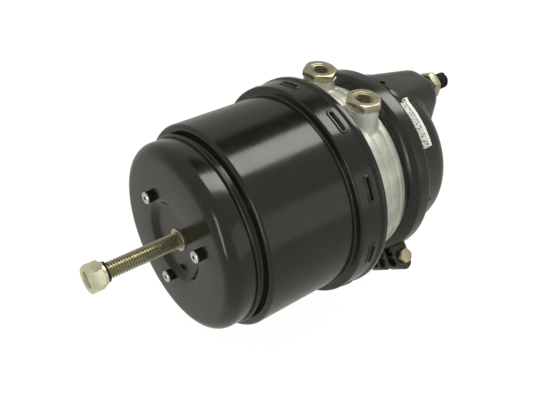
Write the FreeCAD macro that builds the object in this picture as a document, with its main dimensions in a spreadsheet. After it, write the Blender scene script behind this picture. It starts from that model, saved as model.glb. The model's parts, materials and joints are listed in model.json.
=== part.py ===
import FreeCAD, Part
import math
import os
import Sketcher

# Spring brake actuator: a diaphragm service chamber and a spring piston chamber on one axis.
# X runs along the axis towards the brake, X = 0 is the mounting face, Z is the side of the air ports.

doc = FreeCAD.newDocument("AirBrakeChamber")

# Driving dimensions in millimetres and degrees, each with what it measures
DIMENSIONS = (
    ("stud_spacing", 120.65, "distance between the mounting studs"),
    ("stud_d", 16, "mounting stud diameter"),
    ("stud_length", 31.5, "stud length beyond the mounting face"),
    ("stud_head_d", 20, "stud head inside the housing"),
    ("stud_head_t", 5, "stud head thickness"),
    ("stud_nut_flats", 24, "mounting nut across flats"),
    ("stud_nut_t", 10, "mounting nut thickness"),
    ("stud_nut_standoff", 3, "gap between mounting face and nut as delivered"),
    ("face_to_clamp", 83, "mounting face to the middle of the clamp band"),
    ("clamp_to_collar", 57, "clamp band middle to the open edge of the collar"),
    ("collar_length", 29, "length of the collar on the spring housing"),
    ("collar_to_cap", 127, "open edge of the collar to the edge of the end cap band"),
    ("cap_height", 22.5, "height of the end cap beyond that edge"),
    ("sheet_t", 3.3, "wall of the pressed steel housings"),
    ("body_r", 92, "outer radius of the spring housing"),
    ("collar_r", 99.8, "outer radius of the collar"),
    ("collar_lip_r", 101.7, "outer radius of the collar's flared edge"),
    ("collar_lip_w", 4.5, "width of that flared edge"),
    ("collar_flare_w", 2.5, "length of the flare beside it"),
    ("shoulder_round", 7.4, "rounding of the shoulder beside the end cap"),
    ("shoulder_set", 8.5, "shoulder face to the edge of the cap band"),
    ("step_round", 2.5, "rounding of the collar step"),
    ("lug_count", 10, "locking slots round the collar"),
    ("lug_phase", 20.4, "angle of one slot from the port side"),
    ("lug_length", 21, "slot length round the collar"),
    ("lug_width", 3.2, "slot width"),
    ("lug_set", 14.5, "slot middle to the open edge of the collar"),
    ("cap_r", 83.7, "outer radius of the end cap band"),
    ("cap_round", 15, "rounding from the band to the cap face"),
    ("cap_recess_r", 36.5, "radius of the recess in the cap face"),
    ("cap_recess_depth", 5, "depth of that recess"),
    ("cap_recess_slope", 5.5, "radial run of the recess wall"),
    ("cap_ring_wire", 3.6, "wire of the cap lock ring"),
    ("cap_ring_set", 1.4, "band edge to the lock ring"),
    ("cap_flange_r", 88.3, "radius of the cap flange inside the housing"),
    ("cap_screw_circle", 43, "radius of the cap screw circle"),
    ("cap_screw_phase", 35.5, "angle of the first cap screw"),
    ("cap_screw_d", 6, "cap screw thread diameter"),
    ("cap_screw_head_d", 10.4, "cap screw head diameter"),
    ("cap_screw_head_t", 6, "cap screw head height"),
    ("cap_screw_socket", 5, "cap screw socket across flats"),
    ("cap_screw_socket_depth", 3, "depth of that socket"),
    ("spring_seat_r", 52.4, "outer radius of the power spring's seat"),
    ("spring_seat_bore_r", 37.2, "bore radius of that seat"),
    ("spring_seat_t", 6, "thickness of that seat"),
    ("release_d", 14.2, "release bolt diameter"),
    ("release_out", 79, "release bolt length beyond the end cap face"),
    ("release_nut_flats", 22, "release nut across flats"),
    ("release_nut_t", 13, "release nut height without its collar"),
    ("release_collar_r", 9.8, "radius of the release nut's collar"),
    ("release_collar_t", 2.2, "thickness of that collar"),
    ("release_stop_d", 20, "stop on the inner end of the release bolt"),
    ("release_stop_t", 8, "thickness of that stop"),
    ("release_washer_d", 21, "thrust washer diameter"),
    ("release_washer_t", 2.5, "thrust washer thickness"),
    ("release_ring_r", 9.8, "ring behind the release nut"),
    ("release_ring_t", 2.2, "thickness of that ring"),
    ("release_ring_gap", 1, "nut collar to ring"),
    ("pin_d", 3, "pin through the release nut"),
    ("bush_r", 10.4, "release bush radius in the cap"),
    ("bush_flange_r", 16, "release bush flange radius"),
    ("bush_flange_t", 4.5, "release bush flange thickness"),
    ("bush_length", 22, "release bush length"),
    ("bush_proud", 1.2, "release bush height above the recess floor"),
    ("stroke", 64, "stroke of the push rod and the spring piston"),
    ("partition_t", 21, "wall between the two chambers"),
    ("partition_set", 33, "open edge of the collar to the service side of that wall"),
    ("flange_rim_r", 96.2, "radius of the aluminium flange in the collar"),
    ("flange_step", 7, "cone length beside the collar"),
    ("flange_cone_r", 92, "radius at the end of that cone"),
    ("flange_barrel_r", 88.4, "radius of the flange housing's barrel"),
    ("flange_neck_r", 83.2, "radius beside the clamp band"),
    ("rib_groove_w", 2.6, "width of the grooves between the ribs"),
    ("rib_groove_depth", 2, "depth of those grooves"),
    ("rib_one_set", 16.5, "open edge of the collar to the first groove"),
    ("rib_two_set", 29, "open edge of the collar to the second groove"),
    ("oring_wire", 3.2, "section of the flange sealing ring"),
    ("tube_r", 16, "push tube outer radius"),
    ("tube_bore_r", 11, "push tube inner radius"),
    ("tube_fit", 0.3, "clearance between push tube and partition bore"),
    ("tube_ring_wire", 3, "section of the push tube sealing rings"),
    ("bearing_t", 2.6, "wall of the push tube bearing"),
    ("bearing_length", 11, "length of the push tube bearing"),
    ("plug_t", 6, "thickness of the push tube end plug"),
    ("hub_r", 27, "partition hub radius"),
    ("hub_proud", 12, "partition hub height on the spring side"),
    ("clamp_r", 92, "outer radius of the clamp band"),
    ("clamp_half_w", 14, "half width of the clamp band"),
    ("clamp_crown_half_w", 6.5, "half width of its outer face"),
    ("clamp_t", 3, "thickness of the clamp band"),
    ("clamp_edge_r", 82.9, "radius of the clamp band's edges"),
    ("clamp_angle", 137, "turn of the clamp split from the port side"),
    ("clamp_gap", 10, "split of the clamp band"),
    ("ear_t", 18, "length of a clamp ear along the bolt"),
    ("ear_r", 8, "radius of a clamp ear's outer end"),
    ("ear_end_set", 5.5, "bolt axis to the middle of that end"),
    ("ear_bolt_r", 101, "radius of the clamp bolt's axis"),
    ("clamp_bolt_d", 8, "clamp bolt diameter"),
    ("clamp_bolt_flats", 13, "clamp bolt and nut across flats"),
    ("clamp_head_t", 5.3, "clamp bolt head height"),
    ("clamp_nut_t", 6.5, "clamp nut height"),
    ("clamp_bolt_end", 6, "clamp bolt length beyond its nut"),
    ("lip_r", 87, "radius of the clamped lips"),
    ("lip_half_w", 11, "half width of the clamped lips at their root"),
    ("neck_r", 80.2, "radius of both housings under the edges of the clamp band"),
    ("neck_end", 0.8, "band edge to the end of that neck"),
    ("lip_tip_half_w", 6.5, "half width of the clamped lips at their tip"),
    ("bead_half_w", 2.5, "half thickness of the diaphragm bead"),
    ("bead_depth", 8.3, "depth of the diaphragm bead"),
    ("diaphragm_t", 3, "diaphragm thickness"),
    ("plate_r", 60, "push plate radius"),
    ("plate_t", 4, "push plate thickness"),
    ("plate_lip", 1.5, "push plate rim height"),
    ("rod_r", 9, "push rod radius"),
    ("rod_out", 15, "push rod length beyond the mounting face"),
    ("rod_base_r", 17, "push rod base radius"),
    ("rod_base_t", 4, "push rod base thickness"),
    ("bowl_root_r", 81.8, "service housing radius beside the clamp band"),
    ("bowl_front_r", 77.2, "service housing radius at its front wall"),
    ("bowl_front_set", 29, "service housing front wall to the mounting face"),
    ("bowl_round", 20, "rounding of the service housing"),
    ("plateau_root", 62, "depth of the raised mounting pad"),
    ("plateau_half_w", 33, "half width of the mounting pad at its root"),
    ("plateau_half_l", 85, "half length of the mounting pad at its root"),
    ("plateau_corner", 24, "corner radius of the mounting pad at its root"),
    ("plateau_taper", 8, "taper of the mounting pad in degrees"),
    ("plateau_round", 12.5, "rounding of the mounting pad's edge"),
    ("nose_r", 42, "central nose radius at its root"),
    ("nose_root", 40, "depth of the central nose"),
    ("nose_taper", 8, "taper of the central nose in degrees"),
    ("nose_bore_r", 20, "bore for the push rod in the mounting face"),
    ("nose_seal_bore_r", 15, "bore radius of the nose seal"),
    ("drain_d", 5.5, "drain hole diameter"),
    ("drain_set", 56, "drain holes to the mounting face"),
    ("port_set", 21.5, "open edge of the collar to the port axes"),
    ("port_half_spacing", 28, "half distance between the ports"),
    ("port_top", 101.5, "height of the port fittings above the axis"),
    ("port_hex_t", 6.5, "hexagon height of a port fitting"),
    ("port_hex_flats", 28, "port fitting across flats"),
    ("port_washer_t", 1.5, "port sealing washer thickness"),
    ("port_washer_r", 15, "port sealing washer radius"),
    ("port_shank_r", 9, "port fitting shank radius"),
    ("port_shank_length", 10, "port fitting shank length"),
    ("port_bore_r", 7.25, "tapping radius of the port thread"),
    ("port_bore_depth", 14, "depth of the port thread"),
    ("port_chamfer", 1.2, "chamfer at the port mouth"),
    ("service_port_turn", 12, "turn of the service port fitting as tightened"),
    ("parking_port_turn", 30, "turn of the parking port fitting as tightened"),
    ("pillar_r", 13.6, "radius of the port pillars at their top"),
    ("pillar_foot", 72, "height of the pillars' feet above the axis"),
    ("pillar_foot_r", 16.2, "radius of the port pillars at their feet"),
    ("passage_r", 4, "radius of the air passages"),
    ("piston_rim_w", 22, "width of the piston rim"),
    ("piston_gap", 1.1, "clearance between piston rim and housing bore"),
    ("piston_ring_gap", 0.3, "clearance between piston rings and housing bore"),
    ("piston_web_t", 6, "piston web thickness"),
    ("piston_rest", 66, "open edge of the collar to the piston, held back"),
    ("piston_hub_r", 26, "piston hub radius"),
    ("piston_hub_proud", 12, "piston hub length on the spring side"),
    ("piston_hub_floor", 4, "floor of the piston hub"),
    ("piston_ring_w", 5, "width of the piston rings"),
    ("piston_ring_depth", 4.4, "depth of the piston rings"),
    ("power_wire_r", 6.5, "wire radius of the power spring"),
    ("power_mean_r", 60, "mean radius of the power spring"),
    ("power_turns", 4, "turns of the power spring"),
    ("return_wire_r", 2.2, "wire radius of the return spring"),
    ("return_mean_r", 27, "mean radius of the return spring"),
    ("return_turns", 5, "turns of the return spring"),
    ("boot_r", 21, "outer radius of the rod boot"),
    ("boot_neck_r", 14, "radius of the rod boot between its folds"),
    ("boot_wall", 1.6, "wall of the rod boot"),
    ("boot_folds", 5, "folds of the rod boot"),
    ("seat_gap", 0.3, "clearance where a spring or soft piece rests"),
)

sheet = doc.addObject("Spreadsheet::Sheet", "Dims")
for row, (alias, number, meaning) in enumerate(DIMENSIONS, start=1):
    sheet.set(f"A{row}", meaning)
    sheet.set(f"B{row}", str(number))
    sheet.setAlias(f"B{row}", alias)
doc.recompute()


# A size keeps its formula over the sheet together with its present value
class Size:
    def __init__(self, formula, number):
        self.formula = formula
        self.number = number

    def __add__(self, other):
        other = as_size(other)
        return Size(f"({self.formula} + {other.formula})", self.number + other.number)

    def __sub__(self, other):
        other = as_size(other)
        return Size(f"({self.formula} - {other.formula})", self.number - other.number)

    def __mul__(self, factor):
        factor = as_size(factor)
        return Size(f"({self.formula} * {factor.formula})", self.number * factor.number)

    def __truediv__(self, divisor):
        divisor = as_size(divisor)
        return Size(f"({self.formula} / {divisor.formula})", self.number / divisor.number)

    def __neg__(self):
        return Size(f"(0 - {self.formula})", -self.number)


def as_size(value):
    return value if isinstance(value, Size) else Size(str(value), float(value))


def cosine(angle):
    angle = as_size(angle)
    return Size(f"cos({angle.formula} * 1 deg)", math.cos(math.radians(angle.number)))


def sine(angle):
    angle = as_size(angle)
    return Size(f"sin({angle.formula} * 1 deg)", math.sin(math.radians(angle.number)))


def tangent(angle):
    return sine(angle) / cosine(angle)


def square_root(value):
    return Size(f"sqrt({value.formula})", math.sqrt(value.number))


size = {alias: Size(f"Dims.{alias}", float(number)) for alias, number, meaning in DIMENSIONS}
ZERO = as_size(0)

# Stations along the axis
MOUNT_FACE = ZERO
CLAMP_X = -size["face_to_clamp"]
COLLAR_X = CLAMP_X - size["clamp_to_collar"]
STEP_X = COLLAR_X - size["collar_length"]
CAP_EDGE_X = COLLAR_X - size["collar_to_cap"]
SHOULDER_X = CAP_EDGE_X + size["shoulder_set"]
CAP_FACE_X = CAP_EDGE_X - size["cap_height"]
CAP_FLOOR_X = CAP_FACE_X + size["cap_recess_depth"]
PARTITION_X = COLLAR_X + size["partition_set"]
PARTITION_BACK_X = PARTITION_X - size["partition_t"]
PORT_X = COLLAR_X + size["port_set"]
BODY_BORE_R = size["body_r"] - size["sheet_t"]


# Helpers that bind properties to the sheet

def bind(thing, **sizes):
    for name, value in sizes.items():
        thing.setExpression(name, as_size(value).formula)


def place(thing, x=ZERO, y=ZERO, z=ZERO, axis=None, angle=None):
    if axis is not None:
        turn = as_size(angle)
        thing.Placement = FreeCAD.Placement(
            FreeCAD.Vector(0, 0, 0), FreeCAD.Rotation(FreeCAD.Vector(*axis), turn.number)
        )
        thing.setExpression(".Placement.Rotation.Angle", turn.formula)
    thing.setExpression(".Placement.Base.x", as_size(x).formula)
    thing.setExpression(".Placement.Base.y", as_size(y).formula)
    thing.setExpression(".Placement.Base.z", as_size(z).formula)
    return thing


def origin_plane(body, role):
    for feature in body.Origin.OriginFeatures:
        if feature.Role == role:
            return feature
    raise RuntimeError(f"{body.Label} has no {role}")


def new_sketch(body, name, role="XY_Plane"):
    sketch = body.newObject("Sketcher::SketchObject", name)
    sketch.AttachmentSupport = [(origin_plane(body, role), "")]
    sketch.MapMode = "FlatFace"
    return sketch


def constrain(sketch, constraint, value):
    index = sketch.addConstraint(constraint)
    sketch.setExpression(f"Constraints[{index}]", as_size(value).formula)


def draw_outline(sketch, corners):
    """Closed outline through corners (x, r) or (x, r, rounding), all bound to the sheet."""
    spots = [FreeCAD.Vector(corner[0].number, corner[1].number, 0) for corner in corners]
    rounds = [as_size(corner[2]) if len(corner) > 2 else None for corner in corners]
    count = len(corners)
    entries = []
    exits = []
    for i, spot in enumerate(spots):
        before = (spots[i - 1] - spot).normalize()
        after = (spots[(i + 1) % count] - spot).normalize()
        if rounds[i] is None:
            entries.append(spot)
            exits.append(spot)
            continue
        half_angle = before.getAngle(after) / 2
        reach = rounds[i].number / math.tan(half_angle)
        entries.append(spot + before * reach)
        exits.append(spot + after * reach)
    lines = [
        sketch.addGeometry(Part.LineSegment(exits[i], entries[(i + 1) % count]), False)
        for i in range(count)
    ]
    for i, spot in enumerate(spots):
        line_in = lines[i - 1]
        line_out = lines[i]
        if rounds[i] is None:
            sketch.addConstraint(Sketcher.Constraint("Coincident", line_in, 2, line_out, 1))
            fix_point(sketch, line_out, 1, corners[i])
            continue
        before = (spots[i - 1] - spot).normalize()
        after = (spots[(i + 1) % count] - spot).normalize()
        bisector = (before + after).normalize()
        half_angle = before.getAngle(after) / 2
        centre = spot + bisector * (rounds[i].number / math.sin(half_angle))
        turn_left = before.cross(after).z < 0
        first, last = (entries[i], exits[i]) if turn_left else (exits[i], entries[i])
        start = math.atan2(first.y - centre.y, first.x - centre.x)
        end = math.atan2(last.y - centre.y, last.x - centre.x)
        circle = Part.Circle(centre, FreeCAD.Vector(0, 0, 1), rounds[i].number)
        arc = sketch.addGeometry(Part.ArcOfCircle(circle, start, end), False)
        arc_in, arc_out = (1, 2) if turn_left else (2, 1)
        sketch.addConstraint(Sketcher.Constraint("Tangent", line_in, 2, arc, arc_in))
        sketch.addConstraint(Sketcher.Constraint("Tangent", arc, arc_out, line_out, 1))
        constrain(sketch, Sketcher.Constraint("Radius", arc, rounds[i].number), rounds[i])
        corner = sketch.addGeometry(Part.Point(spot), True)
        sketch.addConstraint(Sketcher.Constraint("PointOnObject", corner, 1, line_in))
        sketch.addConstraint(Sketcher.Constraint("PointOnObject", corner, 1, line_out))
        fix_point(sketch, corner, 1, corners[i])


def fix_point(sketch, geometry, end, corner):
    x, r = corner[0], corner[1]
    constrain(sketch, Sketcher.Constraint("DistanceX", -1, 1, geometry, end, x.number), x)
    constrain(sketch, Sketcher.Constraint("DistanceY", -1, 1, geometry, end, r.number), r)


def new_body(name):
    body = doc.addObject("PartDesign::Body", name)
    body.Label = name
    return body


def turned(name, corners, body=None):
    """A turned piece: its half section spun round the X axis."""
    body = body or new_body(name)
    sketch = new_sketch(body, f"{name}_section")
    draw_outline(sketch, corners)
    spin = body.newObject("PartDesign::Revolution", f"{name}_turn")
    spin.Profile = sketch
    spin.ReferenceAxis = (sketch, ["H_Axis"])
    spin.Angle = 360
    body.Tip = spin
    return body


def cylinder_x(name, x, radius, length, y=ZERO, z=ZERO):
    tool = doc.addObject("Part::Cylinder", name)
    bind(tool, Radius=radius, Height=length)
    return place(tool, x, y, z, axis=(0, 1, 0), angle=90)


def cylinder_y(name, y, radius, length, x=ZERO, z=ZERO):
    tool = doc.addObject("Part::Cylinder", name)
    bind(tool, Radius=radius, Height=length)
    return place(tool, x, y, z, axis=(-1, 0, 0), angle=90)


def cylinder_z(name, z, radius, length, x=ZERO, y=ZERO):
    tool = doc.addObject("Part::Cylinder", name)
    bind(tool, Radius=radius, Height=length)
    return place(tool, x, y, z)


def block(name, x, y, z, length, width, height):
    tool = doc.addObject("Part::Box", name)
    bind(tool, Length=length, Width=width, Height=height)
    return place(tool, x, y, z)


def fused(name, shapes):
    joined = doc.addObject("Part::MultiFuse", name)
    joined.Shapes = shapes
    joined.Label = name
    return joined


def cut(name, base, tools):
    result = doc.addObject("Part::Cut", name)
    result.Base = base
    result.Tool = tools[0] if len(tools) == 1 else fused(f"{name}_tools", tools)
    result.Label = name
    return result


def group(name, members):
    """Identical loose pieces that share one node."""
    compound = doc.addObject("Part::Compound", name)
    compound.Links = members
    compound.Label = name
    return compound


def hexagon(name, flats, height, chamfered=("top",)):
    """A hexagon on the local Z axis, its corners turned off at the named ends."""
    prism = doc.addObject("Part::Prism", f"{name}_prism")
    prism.Polygon = 6
    bind(prism, Circumradius=flats / 2 / cosine(30), Height=height)
    shapes = [prism]
    face_r = flats * CHAMFER_SHARE / 2
    wide_r = face_r + height * tangent(60)
    if "top" in chamfered:
        cone = doc.addObject("Part::Cone", f"{name}_top_turn")
        bind(cone, Radius1=wide_r, Radius2=face_r, Height=height)
        shapes.append(cone)
    if "foot" in chamfered:
        cone = doc.addObject("Part::Cone", f"{name}_foot_turn")
        bind(cone, Radius1=face_r, Radius2=wide_r, Height=height)
        shapes.append(cone)
    shaped = doc.addObject("Part::MultiCommon", f"{name}_hexagon")
    shaped.Shapes = shapes
    return shaped


# Share of the width across flats that a hexagon's flat end keeps
CHAMFER_SHARE = 0.95
# How far a cutting tool runs past the wall that it cuts
OVERRUN = as_size(4)
# Running clearance of a shaft in its bore
RUNNING_FIT = as_size(0.05)
# Clearance between a screw and its hole
SCREW_FIT = as_size(0.3)

made = []


def keep(piece):
    made.append(piece)
    return piece


# Spring housing: deep drawn shell with a rolled shoulder and a slotted locking collar
COLLAR_BORE_R = size["collar_r"] - size["sheet_t"]
COLLAR_LIP_X = COLLAR_X - size["collar_lip_w"]
COLLAR_FLARE_X = COLLAR_LIP_X - size["collar_flare_w"]
SHOULDER_BORE_R = size["cap_r"] + size["seat_gap"]
SHOULDER_INNER_ROUND = as_size(3)

housing = turned("spring_housing", [
    (COLLAR_X, size["collar_lip_r"]),
    (COLLAR_LIP_X, size["collar_lip_r"], 1.5),
    (COLLAR_FLARE_X, size["collar_r"], 1.5),
    (STEP_X, size["collar_r"], size["step_round"]),
    (STEP_X, size["body_r"], size["step_round"] / 2),
    (SHOULDER_X, size["body_r"], size["shoulder_round"]),
    (SHOULDER_X, SHOULDER_BORE_R),
    (SHOULDER_X + size["sheet_t"], SHOULDER_BORE_R),
    (SHOULDER_X + size["sheet_t"], BODY_BORE_R, SHOULDER_INNER_ROUND),
    (STEP_X + size["sheet_t"], BODY_BORE_R, 2),
    (STEP_X + size["sheet_t"], COLLAR_BORE_R, 1.5),
    (COLLAR_FLARE_X, COLLAR_BORE_R, 1.5),
    (COLLAR_LIP_X, size["collar_lip_r"] - size["sheet_t"], 1.5),
    (COLLAR_X, size["collar_lip_r"] - size["sheet_t"]),
])


def slot_ring(body, name, x, length, width, count, phase):
    """Rounded slots through the wall, spread evenly round the X axis."""
    sketch = new_sketch(body, f"{name}_outline")
    turn = FreeCAD.Rotation(FreeCAD.Vector(1, 0, 0), phase.number)
    sketch.AttachmentOffset = FreeCAD.Placement(FreeCAD.Vector(0, 0, 0), turn)
    sketch.setExpression("AttachmentOffset.Rotation.Angle", phase.formula)
    half_l = length / 2
    half_w = width / 2
    ends = half_w * 0.99
    draw_outline(sketch, [
        (x - half_w, -half_l, ends),
        (x + half_w, -half_l, ends),
        (x + half_w, half_l, ends),
        (x - half_w, half_l, ends),
    ])
    pocket = body.newObject("PartDesign::Pocket", f"{name}_pocket")
    pocket.Profile = sketch
    pocket.Type = "ThroughAll"
    pocket.Reversed = True
    doc.recompute()
    pattern = body.newObject("PartDesign::PolarPattern", f"{name}_pattern")
    pattern.Originals = [pocket]
    pattern.Axis = (sketch, ["H_Axis"])
    pattern.Angle = 360
    bind(pattern, Occurrences=count)
    body.Tip = pattern


slot_ring(
    housing, "locking_slots", COLLAR_X - size["lug_set"],
    size["lug_length"], size["lug_width"], size["lug_count"], size["lug_phase"],
)
keep(housing)

# End cap: dished cover whose flange bears on the shoulder from inside
CAP_BACK_X = CAP_FACE_X + size["sheet_t"]
CAP_BORE_R = size["cap_r"] - size["sheet_t"]
CAP_FLANGE_X = SHOULDER_X + size["sheet_t"]
RING_X = CAP_EDGE_X + size["cap_ring_set"]
RING_END_X = RING_X + size["cap_ring_wire"]
RING_GROOVE_R = size["cap_r"] - size["cap_ring_wire"] / 2
RECESS_FOOT_R = size["cap_recess_r"] - size["cap_recess_slope"]

cap = turned("end_cap", [
    (CAP_FLOOR_X, size["bush_r"]),
    (CAP_FLOOR_X, RECESS_FOOT_R, 3),
    (CAP_FACE_X, size["cap_recess_r"], 3),
    (CAP_FACE_X, size["cap_r"], size["cap_round"]),
    (RING_X, size["cap_r"]),
    (RING_X, RING_GROOVE_R),
    (RING_END_X, RING_GROOVE_R),
    (RING_END_X, size["cap_r"]),
    (CAP_FLANGE_X, size["cap_r"]),
    (CAP_FLANGE_X, size["cap_flange_r"], SHOULDER_INNER_ROUND),
    (CAP_FLANGE_X + size["sheet_t"], size["cap_flange_r"]),
    (CAP_FLANGE_X + size["sheet_t"], CAP_BORE_R, 2),
    (CAP_BACK_X, CAP_BORE_R, size["cap_round"] - size["sheet_t"]),
    (CAP_BACK_X, size["cap_recess_r"], 3),
    (CAP_FLOOR_X + size["sheet_t"], RECESS_FOOT_R, 3),
    (CAP_FLOOR_X + size["sheet_t"], size["bush_r"]),
])

SCREW_ANGLES = [size["cap_screw_phase"] + 120 * i for i in range(3)]
SCREW_PLACES = [
    (size["cap_screw_circle"] * cosine(angle), size["cap_screw_circle"] * sine(angle))
    for angle in SCREW_ANGLES
]
screw_holes = [
    cylinder_x(
        f"cap_hole_{i}", CAP_FACE_X - OVERRUN, size["cap_screw_d"] / 2 + SCREW_FIT / 2,
        size["sheet_t"] + OVERRUN * 2, y, z,
    )
    for i, (y, z) in enumerate(SCREW_PLACES)
]
cap.Label = "end_cap_blank"
keep(cut("end_cap", cap, screw_holes))

# Lock ring: round wire that keeps the cap from sliding inwards
lock_ring = doc.addObject("Part::Torus", "cap_lock_ring")
bind(lock_ring, Radius1=size["cap_r"] + RUNNING_FIT, Radius2=size["cap_ring_wire"] / 2 - RUNNING_FIT)
place(lock_ring, (RING_X + RING_END_X) / 2, axis=(0, 1, 0), angle=90)
keep(lock_ring)

# Cap screws with sockets, and the ring that they hold, which centres the power spring
SCREW_GRIP = size["sheet_t"] + size["spring_seat_t"]


def cap_screw(name, y, z):
    head_x = CAP_FACE_X - size["cap_screw_head_t"]
    head = cylinder_x(f"{name}_head", head_x, size["cap_screw_head_d"] / 2, size["cap_screw_head_t"], y, z)
    shank = cylinder_x(f"{name}_shank", CAP_FACE_X, size["cap_screw_d"] / 2, SCREW_GRIP, y, z)
    socket = doc.addObject("Part::Prism", f"{name}_socket")
    socket.Polygon = 6
    bind(
        socket, Circumradius=size["cap_screw_socket"] / 2 / cosine(30),
        Height=size["cap_screw_socket_depth"],
    )
    place(socket, head_x, y, z, axis=(0, 1, 0), angle=90)
    return cut(name, fused(f"{name}_blank", [head, shank]), [socket])


keep(group("cap_screws", [cap_screw(f"cap_screw_{i}", y, z) for i, (y, z) in enumerate(SCREW_PLACES)]))

seat = turned("spring_seat_ring", [
    (CAP_BACK_X, size["spring_seat_bore_r"]),
    (CAP_BACK_X, size["spring_seat_r"]),
    (CAP_BACK_X + size["spring_seat_t"], size["spring_seat_r"], 1.5),
    (CAP_BACK_X + size["spring_seat_t"], size["spring_seat_bore_r"], 1),
])
seat_holes = [
    cylinder_x(
        f"seat_hole_{i}", CAP_BACK_X - OVERRUN, size["cap_screw_d"] / 2 + RUNNING_FIT,
        size["spring_seat_t"] + OVERRUN * 2, y, z,
    )
    for i, (y, z) in enumerate(SCREW_PLACES)
]
seat.Label = "spring_seat_blank"
keep(cut("spring_seat", seat, seat_holes))

# Release bush: threaded bush in the middle of the cap, for the release bolt
BUSH_X = CAP_FLOOR_X - size["bush_proud"]
BUSH_FLANGE_X = CAP_FLOOR_X + size["sheet_t"]
RELEASE_R = size["release_d"] / 2
keep(turned("release_bush", [
    (BUSH_X, RELEASE_R + RUNNING_FIT),
    (BUSH_X, size["bush_r"] - RUNNING_FIT, 0.5),
    (BUSH_FLANGE_X, size["bush_r"] - RUNNING_FIT),
    (BUSH_FLANGE_X, size["bush_flange_r"]),
    (BUSH_FLANGE_X + size["bush_flange_t"], size["bush_flange_r"], 1),
    (BUSH_FLANGE_X + size["bush_flange_t"], size["bush_r"]),
    (BUSH_X + size["bush_length"], size["bush_r"]),
    (BUSH_X + size["bush_length"], RELEASE_R + RUNNING_FIT),
]))

# Spring piston, held back by the release bolt: rim with seal and guide ring, web, hub for the tube
PISTON_X = COLLAR_X - size["piston_rest"]
PISTON_BACK_X = PISTON_X - size["piston_rim_w"]
WEB_BACK_X = PISTON_X - size["piston_web_t"]
PISTON_R = BODY_BORE_R - size["piston_gap"]
PISTON_RING_R = BODY_BORE_R - size["piston_ring_gap"]
RING_FLOOR_R = PISTON_R - size["piston_ring_depth"]
HUB_BACK_X = WEB_BACK_X - size["piston_hub_proud"]
TUBE_X = HUB_BACK_X + size["piston_hub_floor"]
SEAL_X = PISTON_X - size["piston_ring_w"] * 1.6
GUIDE_X = PISTON_BACK_X + size["piston_ring_w"] * 0.6
RIM_T = as_size(9)

keep(turned("power_piston", [
    (PISTON_X, size["tube_r"] + RUNNING_FIT),
    (PISTON_X, PISTON_R, 1.5),
    (SEAL_X + size["piston_ring_w"], PISTON_R),
    (SEAL_X + size["piston_ring_w"], RING_FLOOR_R),
    (SEAL_X, RING_FLOOR_R),
    (SEAL_X, PISTON_R),
    (GUIDE_X + size["piston_ring_w"], PISTON_R),
    (GUIDE_X + size["piston_ring_w"], RING_FLOOR_R),
    (GUIDE_X, RING_FLOOR_R),
    (GUIDE_X, PISTON_R),
    (PISTON_BACK_X, PISTON_R, 1),
    (PISTON_BACK_X, PISTON_R - RIM_T, 1),
    (WEB_BACK_X, PISTON_R - RIM_T - 2, 4),
    (WEB_BACK_X, size["piston_hub_r"], 4),
    (HUB_BACK_X, size["piston_hub_r"] - 1, 2),
    (HUB_BACK_X, RELEASE_R + SCREW_FIT),
    (TUBE_X, RELEASE_R + SCREW_FIT),
    (TUBE_X, size["tube_r"] + RUNNING_FIT),
]))

for ring_name, ring_x in (("piston_seal", SEAL_X), ("piston_guide_ring", GUIDE_X)):
    keep(turned(ring_name, [
        (ring_x + RUNNING_FIT, RING_FLOOR_R + RUNNING_FIT),
        (ring_x + RUNNING_FIT, PISTON_RING_R, 0.6),
        (ring_x + size["piston_ring_w"] - RUNNING_FIT, PISTON_RING_R, 0.6),
        (ring_x + size["piston_ring_w"] - RUNNING_FIT, RING_FLOOR_R + RUNNING_FIT),
    ]))

# Push tube and its plug: carry the piston's force through the partition
keep(turned("push_tube", [
    (TUBE_X, size["tube_bore_r"]),
    (TUBE_X, size["tube_r"]),
    (PARTITION_X, size["tube_r"], 1.2),
    (PARTITION_X, size["tube_bore_r"]),
]))
keep(turned("tube_end_plug", [
    (PARTITION_X - size["plug_t"], ZERO),
    (PARTITION_X - size["plug_t"], size["tube_bore_r"] - RUNNING_FIT),
    (PARTITION_X, size["tube_bore_r"] - RUNNING_FIT),
    (PARTITION_X, ZERO),
]))

# Release bolt, wound out as delivered: thread, inner stop, thrust washer, pinned nut
WASHER_X = TUBE_X + size["seat_gap"]
STOP_X = WASHER_X + size["release_washer_t"] + RUNNING_FIT
BOLT_END_X = CAP_FACE_X - size["release_out"]
keep(turned("thrust_washer", [
    (WASHER_X, RELEASE_R + SCREW_FIT),
    (WASHER_X, size["release_washer_d"] / 2),
    (WASHER_X + size["release_washer_t"], size["release_washer_d"] / 2),
    (WASHER_X + size["release_washer_t"], RELEASE_R + SCREW_FIT),
]))
keep(turned("release_bolt", [
    (BOLT_END_X, ZERO),
    (BOLT_END_X, RELEASE_R - 1),
    (BOLT_END_X + 1, RELEASE_R),
    (STOP_X, RELEASE_R),
    (STOP_X, size["release_stop_d"] / 2),
    (STOP_X + size["release_stop_t"], size["release_stop_d"] / 2, 1),
    (STOP_X + size["release_stop_t"], ZERO),
]))

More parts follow.
